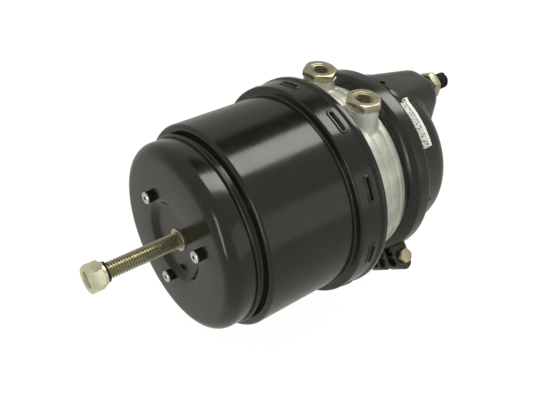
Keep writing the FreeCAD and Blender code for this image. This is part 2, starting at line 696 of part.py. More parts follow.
NUT_PIN_X = BOLT_END_X + size["release_nut_t"] / 2
NUT_BACK_X = BOLT_END_X + size["release_nut_t"]
nut_hexagon = hexagon("release_nut", size["release_nut_flats"], size["release_nut_t"], ("foot", "top"))
place(nut_hexagon, BOLT_END_X, axis=(1, 1, 1), angle=120)
nut_collar = cylinder_x("release_collar", NUT_BACK_X, size["release_collar_r"], size["release_collar_t"])
nut_blank = fused("release_nut_blank", [nut_hexagon, nut_collar])
nut_bore = cylinder_x("release_nut_bore", BOLT_END_X - OVERRUN, RELEASE_R + RUNNING_FIT,
                      size["release_nut_t"] + size["release_collar_t"] + OVERRUN * 2)
pin_bore = cylinder_z("release_pin_bore", -size["release_nut_flats"], size["pin_d"] / 2 + RUNNING_FIT,
                      size["release_nut_flats"] * 2, NUT_PIN_X)
keep(cut("release_nut", nut_blank, [nut_bore, pin_bore]))
PIN_DEPTH = as_size(1.2)
pin_span = size["release_nut_flats"] - PIN_DEPTH * 2
pin_blank = cylinder_z("nut_pin_blank", -pin_span / 2, size["pin_d"] / 2, pin_span, NUT_PIN_X)
pin_core = cylinder_x("nut_pin_core", BOLT_END_X, RELEASE_R, size["release_nut_t"])
keep(cut("nut_pin", pin_blank, [pin_core]))
RING_BACK_X = NUT_BACK_X + size["release_collar_t"] + size["release_ring_gap"]
keep(turned("bolt_ring", [
    (RING_BACK_X, RELEASE_R + RUNNING_FIT),
    (RING_BACK_X, size["release_ring_r"], 0.4),
    (RING_BACK_X + size["release_ring_t"], size["release_ring_r"], 0.4),
    (RING_BACK_X + size["release_ring_t"], RELEASE_R + RUNNING_FIT),
]))

# Flange housing: cast aluminium partition with ribs, port pillars and air passages
RIM_X = STEP_X + size["sheet_t"]
RIM_BORE_R = BODY_BORE_R + size["seat_gap"]
BORE_R = size["tube_r"] + size["tube_fit"]
ORING_X = COLLAR_X - size["lug_set"] - size["lug_width"] - OVERRUN
LIP_FACE_X = CLAMP_X - size["bead_half_w"]
RIB_ONE_X = COLLAR_X + size["rib_one_set"]
RIB_TWO_X = COLLAR_X + size["rib_two_set"]
GROOVE_FLANK = as_size(0.8)
BOWL_FOOT_R = as_size(70)
BOWL_MOUTH_R = size["lip_r"] - size["bead_depth"]
BACK_HOLLOW_R = as_size(74)
HUB_BACK = PARTITION_BACK_X - size["hub_proud"]


def rib_groove(x, outer_before, outer_after):
    """One groove between two ribs, as outline corners."""
    return [
        (x, outer_before),
        (x + GROOVE_FLANK, outer_before - size["rib_groove_depth"]),
        (x + GROOVE_FLANK + size["rib_groove_w"], outer_before - size["rib_groove_depth"]),
        (x + GROOVE_FLANK * 2 + size["rib_groove_w"], outer_after),
    ]


NECK_HALF = size["clamp_half_w"] + size["neck_end"]
RIB_DROP = (size["flange_barrel_r"] - size["flange_neck_r"]) / 3
RING_SECTION = size["tube_ring_wire"]
SERVICE_RING_X = PARTITION_X - RING_SECTION * 2
SPRING_RING_X = HUB_BACK + RING_SECTION
BEARING_X = (HUB_BACK + PARTITION_X - size["bearing_length"]) / 2


def bore_groove(x, width, depth):
    """One groove in the partition bore, as outline corners that run towards the spring side."""
    return [
        (x + width, BORE_R),
        (x + width, BORE_R + depth),
        (x, BORE_R + depth),
        (x, BORE_R),
    ]


flange = turned("flange_casting", [
    (RIM_X, RIM_BORE_R),
    (RIM_X, size["flange_rim_r"], 2),
    (ORING_X - size["oring_wire"], size["flange_rim_r"]),
    (ORING_X - size["oring_wire"], size["flange_rim_r"] - size["oring_wire"]),
    (ORING_X, size["flange_rim_r"] - size["oring_wire"]),
    (ORING_X, size["flange_rim_r"]),
    (COLLAR_X - 1, size["flange_rim_r"], 1.5),
    (COLLAR_X - 1 + size["flange_step"], size["flange_cone_r"]),
] + rib_groove(RIB_ONE_X, size["flange_barrel_r"], size["flange_barrel_r"] - RIB_DROP)
  + rib_groove(RIB_TWO_X, size["flange_barrel_r"] - RIB_DROP * 2, size["flange_barrel_r"] - RIB_DROP * 2) + [
    (CLAMP_X - NECK_HALF - 1, size["flange_neck_r"]),
    (CLAMP_X - NECK_HALF, size["neck_r"]),
    (CLAMP_X - size["lip_half_w"], size["neck_r"]),
    (CLAMP_X - size["lip_tip_half_w"], size["lip_r"], 0.6),
    (LIP_FACE_X, size["lip_r"]),
    (LIP_FACE_X, BOWL_MOUTH_R, 1.5),
    (PARTITION_X + 2, BOWL_FOOT_R, 5),
    (PARTITION_X, BOWL_FOOT_R - 12, 5),
    (PARTITION_X, BORE_R),
] + bore_groove(SERVICE_RING_X, RING_SECTION, RING_SECTION)
  + bore_groove(BEARING_X, size["bearing_length"], size["bearing_t"] - size["tube_fit"])
  + bore_groove(SPRING_RING_X, RING_SECTION, RING_SECTION) + [
    (HUB_BACK, BORE_R),
    (HUB_BACK, size["hub_r"], 2),
    (PARTITION_BACK_X, size["hub_r"] + 2, 6),
    (PARTITION_BACK_X, BACK_HOLLOW_R, 8),
    (COLLAR_X - 2, RIM_BORE_R, 4),
])

PORTS = (("service_port", -size["port_half_spacing"]), ("parking_port", size["port_half_spacing"]))
PILLAR_TOP = size["port_top"] - size["port_hex_t"] - size["port_washer_t"]
SHANK_FOOT = PILLAR_TOP - size["port_shank_length"]
PASSAGE_Z = as_size(66)
pillars = []
for name, y in PORTS:
    pillar = doc.addObject("Part::Cone", f"{name}_pillar")
    bind(pillar, Radius1=size["pillar_foot_r"], Radius2=size["pillar_r"],
         Height=PILLAR_TOP - size["pillar_foot"])
    place(pillar, PORT_X, y, size["pillar_foot"])
    pillars.append(pillar)
flange_blank = fused("flange_blank", [flange] + pillars)
passages = []
for name, y in PORTS:
    passages.append(cylinder_z(f"{name}_socket", SHANK_FOOT, size["port_shank_r"] + RUNNING_FIT,
                               size["port_shank_length"] + OVERRUN, PORT_X, y))
    passages.append(cylinder_z(f"{name}_drill", PASSAGE_Z, size["passage_r"],
                               SHANK_FOOT - PASSAGE_Z + OVERRUN, PORT_X, y))
passages.append(cylinder_x("service_passage", PORT_X, size["passage_r"],
                           PARTITION_X - PORT_X + OVERRUN * 2,
                           -size["port_half_spacing"], PASSAGE_Z))
passages.append(cylinder_x("parking_passage", PARTITION_BACK_X - OVERRUN, size["passage_r"],
                           PORT_X - PARTITION_BACK_X + OVERRUN,
                           size["port_half_spacing"], PASSAGE_Z))
keep(cut("flange_housing", flange_blank, passages))

# Sealing rings of the flange housing
flange_ring = doc.addObject("Part::Torus", "flange_seal_ring")
bind(
    flange_ring,
    Radius1=size["flange_rim_r"] - size["oring_wire"] / 2 + RUNNING_FIT,
    Radius2=size["oring_wire"] / 2 - RUNNING_FIT,
)
place(flange_ring, ORING_X - size["oring_wire"] / 2, axis=(0, 1, 0), angle=90)
keep(flange_ring)
tube_rings = []
for ring_name, ring_x in (("service_tube_ring", SERVICE_RING_X), ("spring_tube_ring", SPRING_RING_X)):
    ring = doc.addObject("Part::Torus", ring_name)
    bind(
        ring,
        Radius1=BORE_R + RING_SECTION / 2 + RUNNING_FIT,
        Radius2=RING_SECTION / 2 - RUNNING_FIT * 2,
    )
    place(ring, ring_x + RING_SECTION / 2, axis=(0, 1, 0), angle=90)
    tube_rings.append(ring)
keep(group("tube_seal_rings", tube_rings))
keep(turned("tube_bearing", [
    (BEARING_X + RUNNING_FIT, size["tube_r"] + RUNNING_FIT),
    (BEARING_X + RUNNING_FIT, size["tube_r"] + size["bearing_t"] - RUNNING_FIT),
    (BEARING_X + size["bearing_length"] - RUNNING_FIT, size["tube_r"] + size["bearing_t"] - RUNNING_FIT),
    (BEARING_X + size["bearing_length"] - RUNNING_FIT, size["tube_r"] + RUNNING_FIT),
]))


# Port fittings: hexagon adapters with a tapped bore, each on a sealing washer
def port_fitting(name, y, turn):
    hex_foot = size["port_top"] - size["port_hex_t"]
    hexed = hexagon(f"{name}_head", size["port_hex_flats"], size["port_hex_t"], ("top",))
    place(hexed, PORT_X, y, hex_foot, axis=(0, 0, -1), angle=turn)
    shank = cylinder_z(f"{name}_shank", SHANK_FOOT, size["port_shank_r"], hex_foot - SHANK_FOOT, PORT_X, y)
    blank = fused(f"{name}_blank", [hexed, shank])
    thread = cylinder_z(f"{name}_thread", size["port_top"] - size["port_bore_depth"],
                        size["port_bore_r"], size["port_bore_depth"] + OVERRUN, PORT_X, y)
    drill = cylinder_z(f"{name}_through", SHANK_FOOT - OVERRUN, size["passage_r"] + 1,
                       size["port_top"] - SHANK_FOOT, PORT_X, y)
    mouth = doc.addObject("Part::Cone", f"{name}_mouth")
    bind(mouth, Radius1=size["port_bore_r"], Radius2=size["port_bore_r"] + size["port_chamfer"],
         Height=size["port_chamfer"])
    place(mouth, PORT_X, y, size["port_top"] - size["port_chamfer"])
    return cut(f"{name}_fitting", blank, [thread, drill, mouth])


washers = []
for name, y in PORTS:
    keep(port_fitting(name, y, size[f"{name}_turn"]))
    disc = cylinder_z(f"{name}_washer_disc", PILLAR_TOP, size["port_washer_r"], size["port_washer_t"], PORT_X, y)
    eye = cylinder_z(f"{name}_washer_eye", PILLAR_TOP - OVERRUN, size["port_shank_r"] + RUNNING_FIT,
                     size["port_washer_t"] + OVERRUN * 2, PORT_X, y)
    washers.append(cut(f"{name}_washer", disc, [eye]))
keep(group("port_washers", washers))

# Service housing: pressed bowl with a raised, tapered pad for the studs and a nose for the rod
FRONT_X = -size["bowl_front_set"]
BOWL_LIP_X = CLAMP_X + size["bead_half_w"]


def tapered_pad(body, name, draw, root, height, taper, rounding=None):
    """A pad that rises along X from root and narrows towards its face."""
    sketch = new_sketch(body, f"{name}_outline", "YZ_Plane")
    sketch.AttachmentOffset = FreeCAD.Placement(FreeCAD.Vector(0, 0, root.number), FreeCAD.Rotation())
    sketch.setExpression("AttachmentOffset.Base.z", root.formula)
    draw(sketch)
    pad = body.newObject("PartDesign::Pad", f"{name}_pad")
    pad.Profile = sketch
    bind(pad, Length=height)
    pad.TaperAngle = -taper.number
    pad.setExpression("TaperAngle", (-taper).formula)
    body.Tip = pad
    doc.recompute()
    if rounding is None:
        return
    face_x = root.number + height.number
    rim = [
        f"Edge{i + 1}" for i, edge in enumerate(pad.Shape.Edges)
        if abs(edge.BoundBox.XMin - face_x) < 1e-3 and edge.BoundBox.XLength < 1e-3
    ]
    fillet = body.newObject("PartDesign::Fillet", f"{name}_round")
    fillet.Base = (pad, rim)
    bind(fillet, Radius=rounding)
    body.Tip = fillet


def draw_pad(sketch, half_w, half_l, corner):
    """A rectangle with rounded corners, long in Z."""
    draw_outline(sketch, [
        (-half_w, -half_l, corner),
        (half_w, -half_l, corner),
        (half_w, half_l, corner),
        (-half_w, half_l, corner),
    ])


def draw_circle(sketch, radius):
    circle = Part.Circle(FreeCAD.Vector(0, 0, 0), FreeCAD.Vector(0, 0, 1), radius.number)
    index = sketch.addGeometry(circle, False)
    sketch.addConstraint(Sketcher.Constraint("Coincident", index, 3, -1, 1))
    constrain(sketch, Sketcher.Constraint("Radius", index, radius.number), radius)


def pressed_form(name, corners, offset):
    """The bowl with its pad and nose, drawn in by offset on every side."""
    body = turned(name, corners)
    pad_root = -size["plateau_root"]
    nose_root = -size["nose_root"]
    tapered_pad(
        body, f"{name}_nose", lambda sketch: draw_circle(sketch, size["nose_r"] - offset),
        nose_root, size["nose_root"] - offset, size["nose_taper"],
    )
    tapered_pad(
        body, f"{name}_plateau",
        lambda sketch: draw_pad(sketch, size["plateau_half_w"] - offset, size["plateau_half_l"] - offset,
                                size["plateau_corner"] - offset),
        pad_root, size["plateau_root"] - offset, size["plateau_taper"],
        size["plateau_round"] - offset,
    )
    return body


outer_form = pressed_form("service_outer", [
    (BOWL_LIP_X, ZERO),
    (BOWL_LIP_X, size["lip_r"]),
    (CLAMP_X + size["lip_tip_half_w"], size["lip_r"], 0.6),
    (CLAMP_X + size["lip_half_w"], size["neck_r"]),
    (CLAMP_X + NECK_HALF, size["neck_r"], 1.5),
    (CLAMP_X + NECK_HALF + 2, size["bowl_root_r"], 1.5),
    (FRONT_X, size["bowl_front_r"], size["bowl_round"]),
    (FRONT_X, ZERO),
], ZERO)
inner_form = pressed_form("service_inner", [
    (BOWL_LIP_X - OVERRUN, ZERO),
    (BOWL_LIP_X - OVERRUN, BOWL_MOUTH_R),
    (BOWL_LIP_X, BOWL_MOUTH_R),
    (BOWL_LIP_X + size["sheet_t"], size["neck_r"] - size["sheet_t"]),
    (CLAMP_X + NECK_HALF + 1, size["neck_r"] - size["sheet_t"], 1.5),
    (CLAMP_X + NECK_HALF + 3, size["bowl_root_r"] - size["sheet_t"], 1.5),
    (FRONT_X - size["sheet_t"], size["bowl_front_r"] - size["sheet_t"],
     size["bowl_round"] - size["sheet_t"]),
    (FRONT_X - size["sheet_t"], ZERO),
], size["sheet_t"])

STUD_R = size["stud_d"] / 2
STUD_NECK_R = STUD_R + 0.2
STUD_THREAD_R = STUD_R - 0.15
STUD_PLAIN_END = size["stud_nut_standoff"] - RUNNING_FIT * 2
STUD_PLACES = (size["stud_spacing"] / 2, -size["stud_spacing"] / 2)
housing_holes = [inner_form]
for i, z in enumerate(STUD_PLACES):
    housing_holes.append(cylinder_x(f"stud_hole_{i}", -size["sheet_t"] * 2, STUD_NECK_R + RUNNING_FIT,
                                    size["sheet_t"] * 2 + OVERRUN, ZERO, z))
housing_holes.append(cylinder_x("nose_bore", -size["sheet_t"] - OVERRUN, size["nose_bore_r"],
                                size["sheet_t"] + OVERRUN * 2))
DRAIN_X = -size["drain_set"]
DRAIN_REACH = size["lip_r"] * 2 + OVERRUN * 4
housing_holes.append(cylinder_z("drain_upright", -DRAIN_REACH / 2, size["drain_d"] / 2, DRAIN_REACH, DRAIN_X - 12))
housing_holes.append(cylinder_y("drain_across", -DRAIN_REACH / 2, size["drain_d"] / 2, DRAIN_REACH, DRAIN_X))
keep(cut("service_housing", outer_form, housing_holes))

# Mounting studs pressed in from inside, and their nuts as delivered
HEAD_X = -size["sheet_t"] - size["stud_head_t"]
studs = []
stud_nuts = []
for i, z in enumerate(STUD_PLACES):
    stud = turned(f"stud_{i}", [
        (HEAD_X, ZERO),
        (HEAD_X, size["stud_head_d"] / 2, 1),
        (-size["sheet_t"] - 2.8, size["stud_head_d"] / 2),
        (-size["sheet_t"] - 1.2, STUD_NECK_R),
        (MOUNT_FACE, STUD_NECK_R),
        (MOUNT_FACE, STUD_R),
        (STUD_PLAIN_END, STUD_R),
        (STUD_PLAIN_END, STUD_THREAD_R),
        (size["stud_length"] - 2, STUD_THREAD_R),
        (size["stud_length"], STUD_THREAD_R - 2),
        (size["stud_length"], ZERO),
    ])
    place(stud, ZERO, ZERO, z)
    studs.append(stud)
    nut_hexagon = hexagon(f"stud_nut_{i}", size["stud_nut_flats"], size["stud_nut_t"], ("foot", "top"))
    place(nut_hexagon, size["stud_nut_standoff"], ZERO, z, axis=(0, 1, 0), angle=90)
    nut_hole = cylinder_x(f"stud_nut_bore_{i}", size["stud_nut_standoff"] - OVERRUN, STUD_THREAD_R + RUNNING_FIT,
                          size["stud_nut_t"] + OVERRUN * 2, ZERO, z)
    stud_nuts.append(cut(f"stud_nut_{i}", nut_hexagon, [nut_hole]))
keep(group("mounting_studs", studs))
keep(group("mounting_nuts", stud_nuts))

# Seal snapped into the nose bore, flush with the mounting face
SEAL_BACK_X = -size["sheet_t"] - 2.3
keep(turned("nose_seal", [
    (SEAL_BACK_X, size["nose_seal_bore_r"]),
    (SEAL_BACK_X, size["nose_bore_r"] + 3),
    (-size["sheet_t"], size["nose_bore_r"] + 3),
    (-size["sheet_t"], size["nose_bore_r"]),
    (MOUNT_FACE, size["nose_bore_r"]),
    (MOUNT_FACE, size["nose_seal_bore_r"], 0.8),
]))

# Clamp band: one rolled V section, split once, with two ears and a bolt
LIP_SLOPE = (size["lip_r"] - size["neck_r"]) / (size["lip_half_w"] - size["lip_tip_half_w"])
LIP_HYPOTENUSE = square_root(LIP_SLOPE * LIP_SLOPE + 1)
CROWN_IN_R = size["clamp_r"] - size["clamp_t"]
FLANK_TOP_HALF = size["clamp_crown_half_w"] + 4
FLANK_TOP_R = size["clamp_edge_r"] + (size["clamp_half_w"] - FLANK_TOP_HALF) * LIP_SLOPE
EDGE_RUN = size["clamp_t"] * LIP_SLOPE / LIP_HYPOTENUSE
EDGE_DROP = size["clamp_t"] / LIP_HYPOTENUSE
EDGE_IN_HALF = size["clamp_half_w"] - EDGE_RUN
EDGE_IN_R = size["clamp_edge_r"] - EDGE_DROP
INNER_TOP_R = size["lip_r"] + 0.8
INNER_TOP_HALF = EDGE_IN_HALF - (INNER_TOP_R - EDGE_IN_R) / LIP_SLOPE
band = turned("clamp_ring", [
    (CLAMP_X - size["clamp_half_w"], size["clamp_edge_r"], 0.8),
    (CLAMP_X - FLANK_TOP_HALF, FLANK_TOP_R, 2),
    (CLAMP_X - size["clamp_crown_half_w"], size["clamp_r"], 3),
    (CLAMP_X + size["clamp_crown_half_w"], size["clamp_r"], 3),
    (CLAMP_X + FLANK_TOP_HALF, FLANK_TOP_R, 2),
    (CLAMP_X + size["clamp_half_w"], size["clamp_edge_r"], 0.8),
    (CLAMP_X + EDGE_IN_HALF, EDGE_IN_R),
    (CLAMP_X + INNER_TOP_HALF, INNER_TOP_R),
    (CLAMP_X + INNER_TOP_HALF - 2, CROWN_IN_R),
    (CLAMP_X - INNER_TOP_HALF + 2, CROWN_IN_R),
    (CLAMP_X - INNER_TOP_HALF, INNER_TOP_R),
    (CLAMP_X - EDGE_IN_HALF, EDGE_IN_R),
])
HALF_GAP = size["clamp_gap"] / 2
EAR_FOOT_R = size["clamp_r"] - 2
EAR_END_R = size["ear_bolt_r"] + size["ear_end_set"]
ears = []
for side, y in (("near", HALF_GAP), ("far", -HALF_GAP - size["ear_t"])):
    ears.append(block(f"ear_{side}_root", CLAMP_X - size["ear_r"], y, EAR_FOOT_R,
                      size["ear_r"] * 2, size["ear_t"], EAR_END_R - EAR_FOOT_R))
    ears.append(cylinder_y(f"ear_{side}_end", y, size["ear_r"], size["ear_t"], CLAMP_X, EAR_END_R))
band_blank = fused("clamp_band_blank", [band] + ears)
EAR_SPAN = size["ear_t"] * 2 + size["clamp_gap"]
split = block("clamp_split", CLAMP_X - size["clamp_half_w"] - OVERRUN, -HALF_GAP, size["bowl_root_r"] - OVERRUN,
              (size["clamp_half_w"] + OVERRUN) * 2, size["clamp_gap"], size["ear_bolt_r"])
bolt_hole = cylinder_y("clamp_bolt_hole", -EAR_SPAN / 2 - OVERRUN, size["clamp_bolt_d"] / 2 + SCREW_FIT,
                       EAR_SPAN + OVERRUN * 2, CLAMP_X, size["ear_bolt_r"])
clamp = cut("clamp_band", band_blank, [split, bolt_hole])
place(clamp, axis=(1, 0, 0), angle=size["clamp_angle"])
keep(clamp)

# Clamp bolt and nut, built beside the port side and turned with the split
head = hexagon("clamp_head", size["clamp_bolt_flats"], size["clamp_head_t"], ("top",))
place(head, CLAMP_X, EAR_SPAN / 2, size["ear_bolt_r"], axis=(-1, 0, 0), angle=90)
SHANK_END = EAR_SPAN / 2 + size["clamp_nut_t"] + size["clamp_bolt_end"]
shank = cylinder_y("clamp_shank", -SHANK_END, size["clamp_bolt_d"] / 2, SHANK_END + EAR_SPAN / 2,
                   CLAMP_X, size["ear_bolt_r"])
clamp_bolt = fused("clamp_bolt", [head, shank])
place(clamp_bolt, axis=(1, 0, 0), angle=size["clamp_angle"])
keep(clamp_bolt)
nut_form = hexagon("clamp_nut", size["clamp_bolt_flats"], size["clamp_nut_t"], ("foot",))
place(nut_form, CLAMP_X, -EAR_SPAN / 2 - size["clamp_nut_t"], size["ear_bolt_r"], axis=(-1, 0, 0), angle=90)
nut_eye = cylinder_y("clamp_nut_eye", -SHANK_END, size["clamp_bolt_d"] / 2 + RUNNING_FIT,
                     SHANK_END, CLAMP_X, size["ear_bolt_r"])
clamp_nut = cut("clamp_nut", nut_form, [nut_eye])
place(clamp_nut, axis=(1, 0, 0), angle=size["clamp_angle"])
keep(clamp_nut)

# Service diaphragm: rolled back over the push plate, its bead clamped between the lips
SKIN_GAP = as_size(0.6)
SKIN_X = PARTITION_X + SKIN_GAP
keep(turned("service_diaphragm", [
    (SKIN_X, ZERO),
    (SKIN_X, BOWL_FOOT_R - 14, 6),
    (PARTITION_X + 3, BOWL_FOOT_R - 1.5, 6),
    (LIP_FACE_X, BOWL_MOUTH_R - SKIN_GAP, 2),
    (LIP_FACE_X, size["lip_r"] - SKIN_GAP),
    (CLAMP_X + size["bead_half_w"], size["lip_r"] - SKIN_GAP),
    (CLAMP_X + size["bead_half_w"], BOWL_MOUTH_R - 2, 2),
    (LIP_FACE_X + 1, BOWL_MOUTH_R - size["diaphragm_t"] - 1.5, 3),
    (PARTITION_X + 5.5, BOWL_FOOT_R - 6, 5),
    (SKIN_X + size["diaphragm_t"], BOWL_FOOT_R - 16, 6),
    (SKIN_X + size["diaphragm_t"], ZERO),
]))

# Push plate and push rod: dished plate, rod with a rounded end for the brake lever
PLATE_X = SKIN_X + size["diaphragm_t"] + size["seat_gap"]
PLATE_FRONT_X = PLATE_X + size["plate_t"]
PLATE_FLAT_R = size["plate_r"] - 11
keep(turned("push_plate", [
    (PLATE_X, ZERO),
    (PLATE_X, PLATE_FLAT_R, 8),
    (PLATE_X + size["plate_lip"] + 1, size["plate_r"], 1),
    (PLATE_FRONT_X + size["plate_lip"], size["plate_r"] - 1, 1),
    (PLATE_FRONT_X, PLATE_FLAT_R, 8),
    (PLATE_FRONT_X, ZERO),
]))
ROD_END_ROUND = size["rod_r"] * 0.97
keep(turned("push_rod", [
    (PLATE_FRONT_X, ZERO),
    (PLATE_FRONT_X, size["rod_base_r"]),
    (PLATE_FRONT_X + size["rod_base_t"], size["rod_base_r"], 1),
    (PLATE_FRONT_X + size["rod_base_t"], size["rod_r"], 2),
    (size["rod_out"], size["rod_r"], ROD_END_ROUND),
    (size["rod_out"], ZERO),
]))

# Rod boot: folded rubber sleeve from the rod base to the face seal
BOOT_X = PLATE_FRONT_X + size["rod_base_t"] + 1
BOOT_END_X = SEAL_BACK_X - size["seat_gap"]
FOLD_COUNT = int(size["boot_folds"].number)
fold_pitch = (BOOT_END_X - BOOT_X - size["boot_wall"] * 2) / size["boot_folds"]
boot_outer = [(BOOT_X, size["boot_neck_r"])]
boot_inner = []
for fold in range(FOLD_COUNT):
    trough_x = BOOT_X + size["boot_wall"] + fold_pitch * fold
    boot_outer.append((trough_x, size["boot_neck_r"]))
    boot_outer.append((trough_x + fold_pitch / 2, size["boot_r"], 1.5))
    boot_inner.append((trough_x, size["boot_neck_r"] - size["boot_wall"]))
    boot_inner.append((trough_x + fold_pitch / 2, size["boot_r"] - size["boot_wall"] * 1.6))
last_x = BOOT_END_X - size["boot_wall"]
boot_outer.append((last_x, size["boot_neck_r"]))
boot_outer.append((BOOT_END_X, size["boot_neck_r"] + 2))
boot_inner.append((last_x, size["boot_neck_r"] - size["boot_wall"]))
boot_inner.append((BOOT_END_X, size["boot_neck_r"] - size["boot_wall"]))
boot_inner.insert(0, (BOOT_X, size["rod_r"] + 1))
keep(turned("rod_boot", boot_outer + boot_inner[::-1]))


# Springs: round wire swept along a helix whose end coils rest on the pieces beside them
WIRE_SIDES = 8


def coil_spring(name, start_x, end_x, mean_r, wire_r, turns):
    height = end_x - start_x - wire_r * 2
    helix = doc.addObject("Part::Helix", f"{name}_line")
    helix.LocalCoord = 0
    bind(helix, Pitch=height / turns, Height=height, Radius=mean_r)
    wire = doc.addObject("Part::RegularPolygon", f"{name}_wire")
    wire.Polygon = WIRE_SIDES
    bind(wire, Circumradius=wire_r)
    place(wire, mean_r, axis=(1, 0, 0), angle=90)
    doc.recompute()
    sweep = doc.addObject("Part::Sweep", name)
    sweep.Sections = [wire]
    sweep.Spine = (helix, [f"Edge{i + 1}" for i in range(len(helix.Shape.Edges))])
    sweep.Solid = True
    sweep.Frenet = True
    sweep.Label = name
    return place(sweep, start_x + wire_r, axis=(0, 1, 0), angle=90)


keep(coil_spring(
    "power_spring", CAP_BACK_X + size["seat_gap"], WEB_BACK_X - size["seat_gap"],
    size["power_mean_r"], size["power_wire_r"], size["power_turns"],
))
keep(coil_spring(
    "return_spring", PLATE_FRONT_X + size["seat_gap"], -size["sheet_t"] - size["seat_gap"],
    size["return_mean_r"], size["return_wire_r"], size["return_turns"],
))

# Recompute, check every object and write one file for each node
doc.recompute()
for thing in doc.Objects:
    if "Invalid" in thing.State or "Error" in thing.State:
        raise RuntimeError(f"{thing.Label}: {thing.State}")
for piece in made:
    if piece.Shape.isNull() or not piece.Shape.isValid():
        raise RuntimeError(f"{piece.Label} has no valid shape")
    if not piece.Shape.Solids:
        raise RuntimeError(f"{piece.Label} has no solid")

os.makedirs("parts", exist_ok=True)
for piece in made:
    piece.Shape.exportStep(f"parts/{piece.Label}.step")
print(f"{len(made)} pieces written")
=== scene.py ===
import json
import math

import bmesh
import bpy
from bpy.props import FloatProperty, FloatVectorProperty, IntProperty, PointerProperty
from mathutils import Matrix, Vector


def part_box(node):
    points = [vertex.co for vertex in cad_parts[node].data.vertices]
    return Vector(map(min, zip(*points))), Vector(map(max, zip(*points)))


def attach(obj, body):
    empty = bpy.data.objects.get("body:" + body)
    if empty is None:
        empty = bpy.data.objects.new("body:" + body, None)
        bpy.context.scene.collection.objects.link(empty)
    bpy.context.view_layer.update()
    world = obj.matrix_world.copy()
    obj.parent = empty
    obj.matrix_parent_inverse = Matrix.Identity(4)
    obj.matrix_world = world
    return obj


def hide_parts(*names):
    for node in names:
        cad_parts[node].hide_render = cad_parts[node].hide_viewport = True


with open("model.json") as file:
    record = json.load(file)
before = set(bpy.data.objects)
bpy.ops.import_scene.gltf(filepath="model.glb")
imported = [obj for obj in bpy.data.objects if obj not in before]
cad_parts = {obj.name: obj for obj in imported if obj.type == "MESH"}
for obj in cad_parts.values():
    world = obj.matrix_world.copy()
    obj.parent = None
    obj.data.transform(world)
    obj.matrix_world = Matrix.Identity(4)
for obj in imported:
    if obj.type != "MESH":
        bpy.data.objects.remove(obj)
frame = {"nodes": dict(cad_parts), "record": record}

bl_info = {
    "name": "Air brake chamber",
    "version": (1, 0, 0),
    "blender": (4, 5, 0),
    "location": "View3D > Sidebar > Brake chamber",
    "description": "Spring brake chamber: painted shells, cast flange, plated fittings, studio",
    "category": "Object",
}

MM = 0.001
X_AXIS = Vector((1, 0, 0))

# Stations along the chamber's axis, in millimetres from the mounting face
CLAMP_X = -83
COLLAR_X = -140
STEP_X = -169
SHOULDER_X = -258.5
CAP_FACE_X = -289.5
PORT_X = -118.5
BOWL_TRIM_X = -68.3
BOWL_EDGE_X = -66.2
UPPER_DRAIN_X = -63.5
SIDE_DRAIN_X = -60.5

# Distances from the axis, in millimetres
PORT_TOP = 101.5
PORT_HEX_FOOT = 95
PORT_Y = 28
STUD_Z = 60.325
COLLAR_R = 99.8
SLOT_RIM_R = 99.55
SCREW_CIRCLE_R = 43
CLAMP_BOLT_R = 101
BOWL_R = 81.8
BOWL_TAPER = 0.1237

# Turns round the axis and what repeats there, in degrees
SLOT_COUNT = 10
SLOT_FIRST = 20.4
SLOT_STEP = 36
SCREW_COUNT = 3
SCREW_FIRST = 35.5
SCREW_STEP = 120
SERVICE_ADAPTER_TURN = math.radians(18)
CLAMP_TURN = math.radians(137)

# Thread pitches, in millimetres
RELEASE_PITCH = 2.31
METRIC_FINE_PITCH = 1.5
CLAMP_PITCH = 1.25

# Raised rims of the locking slots and grooves in the cap screws' heads, in millimetres
SLOT_RIM_MAJOR = 2.9
SLOT_RIM_MINOR = 1.5
SLOT_RIM_STRETCH = 8.4
GRIP_INSET = 0.06
GRIP_DEPTH = 0.22

# Mounting pad: half sizes at its root and its front, in millimetres
PAD_ROOT_X = -69
PAD_ROOT_Y = 34
PAD_ROOT_Z = 86
PAD_FRONT_Y = 24.3
PAD_FRONT_Z = 76.3
PAD_CORNER = 24
PAD_EDGE = 10.5

# Place of the printed strip on the service housing
LABEL_LOW_X = -68.2
LABEL_HIGH_X = -54
LABEL_PRINT_X = -57.2
LABEL_ARC = math.radians(40.5)
LABEL_TURN = math.radians(52)
LABEL_ROLL_R = 81
LABEL_LIFT = 0.5
LABEL_FILM = 0.2
LABEL_WHITE = (0.78, 0.78, 0.76, 1)

# Slightly warm light, as a white studio gives
LIGHT_TINT = (1, 1, 0.9, 1)

# Softboxes: name, place, aim, width, height in metres, power in watts
SOFTBOXES = (
    ("strip_softbox", (0.36, 0.05, 1.05), (-0.22, 0, 0), 0.46, 1.1, 9.5),
    ("fill_softbox", (0.35, -1.1, 0.38), (-0.2, 0, 0), 0.8, 0.7, 0.9),
    ("edge_softbox", (-1.25, -0.54, 0.3), (-0.2, 0, 0), 0.16, 0.9, 2.6),
)
ROOM_LIGHT = 0.55
FLAG_LIGHT = 0.05
FLAG_WAY = (0.48, 0.38, 0.79)

# Floor: height and radius in metres, and how bright the camera and reflections see it
FLOOR_Z = -0.106
FLOOR_R = 6
FLOOR_GLOW = 1.05
FLOOR_MIRRORED = 0.6
FLOOR_CAMERA_SHARE = 0.93

# Camera, in metres, with its lens and sensor in millimetres
CAMERA_PLACE = (-0.5007, -0.3469, 0.3929)
CAMERA_FORWARD = (0.509, 0.5704, -0.6447)
CAMERA_RIGHT = (0.7873, -0.6113, 0.0807)
CAMERA_LENS = 45.27
CAMERA_SENSOR = 36


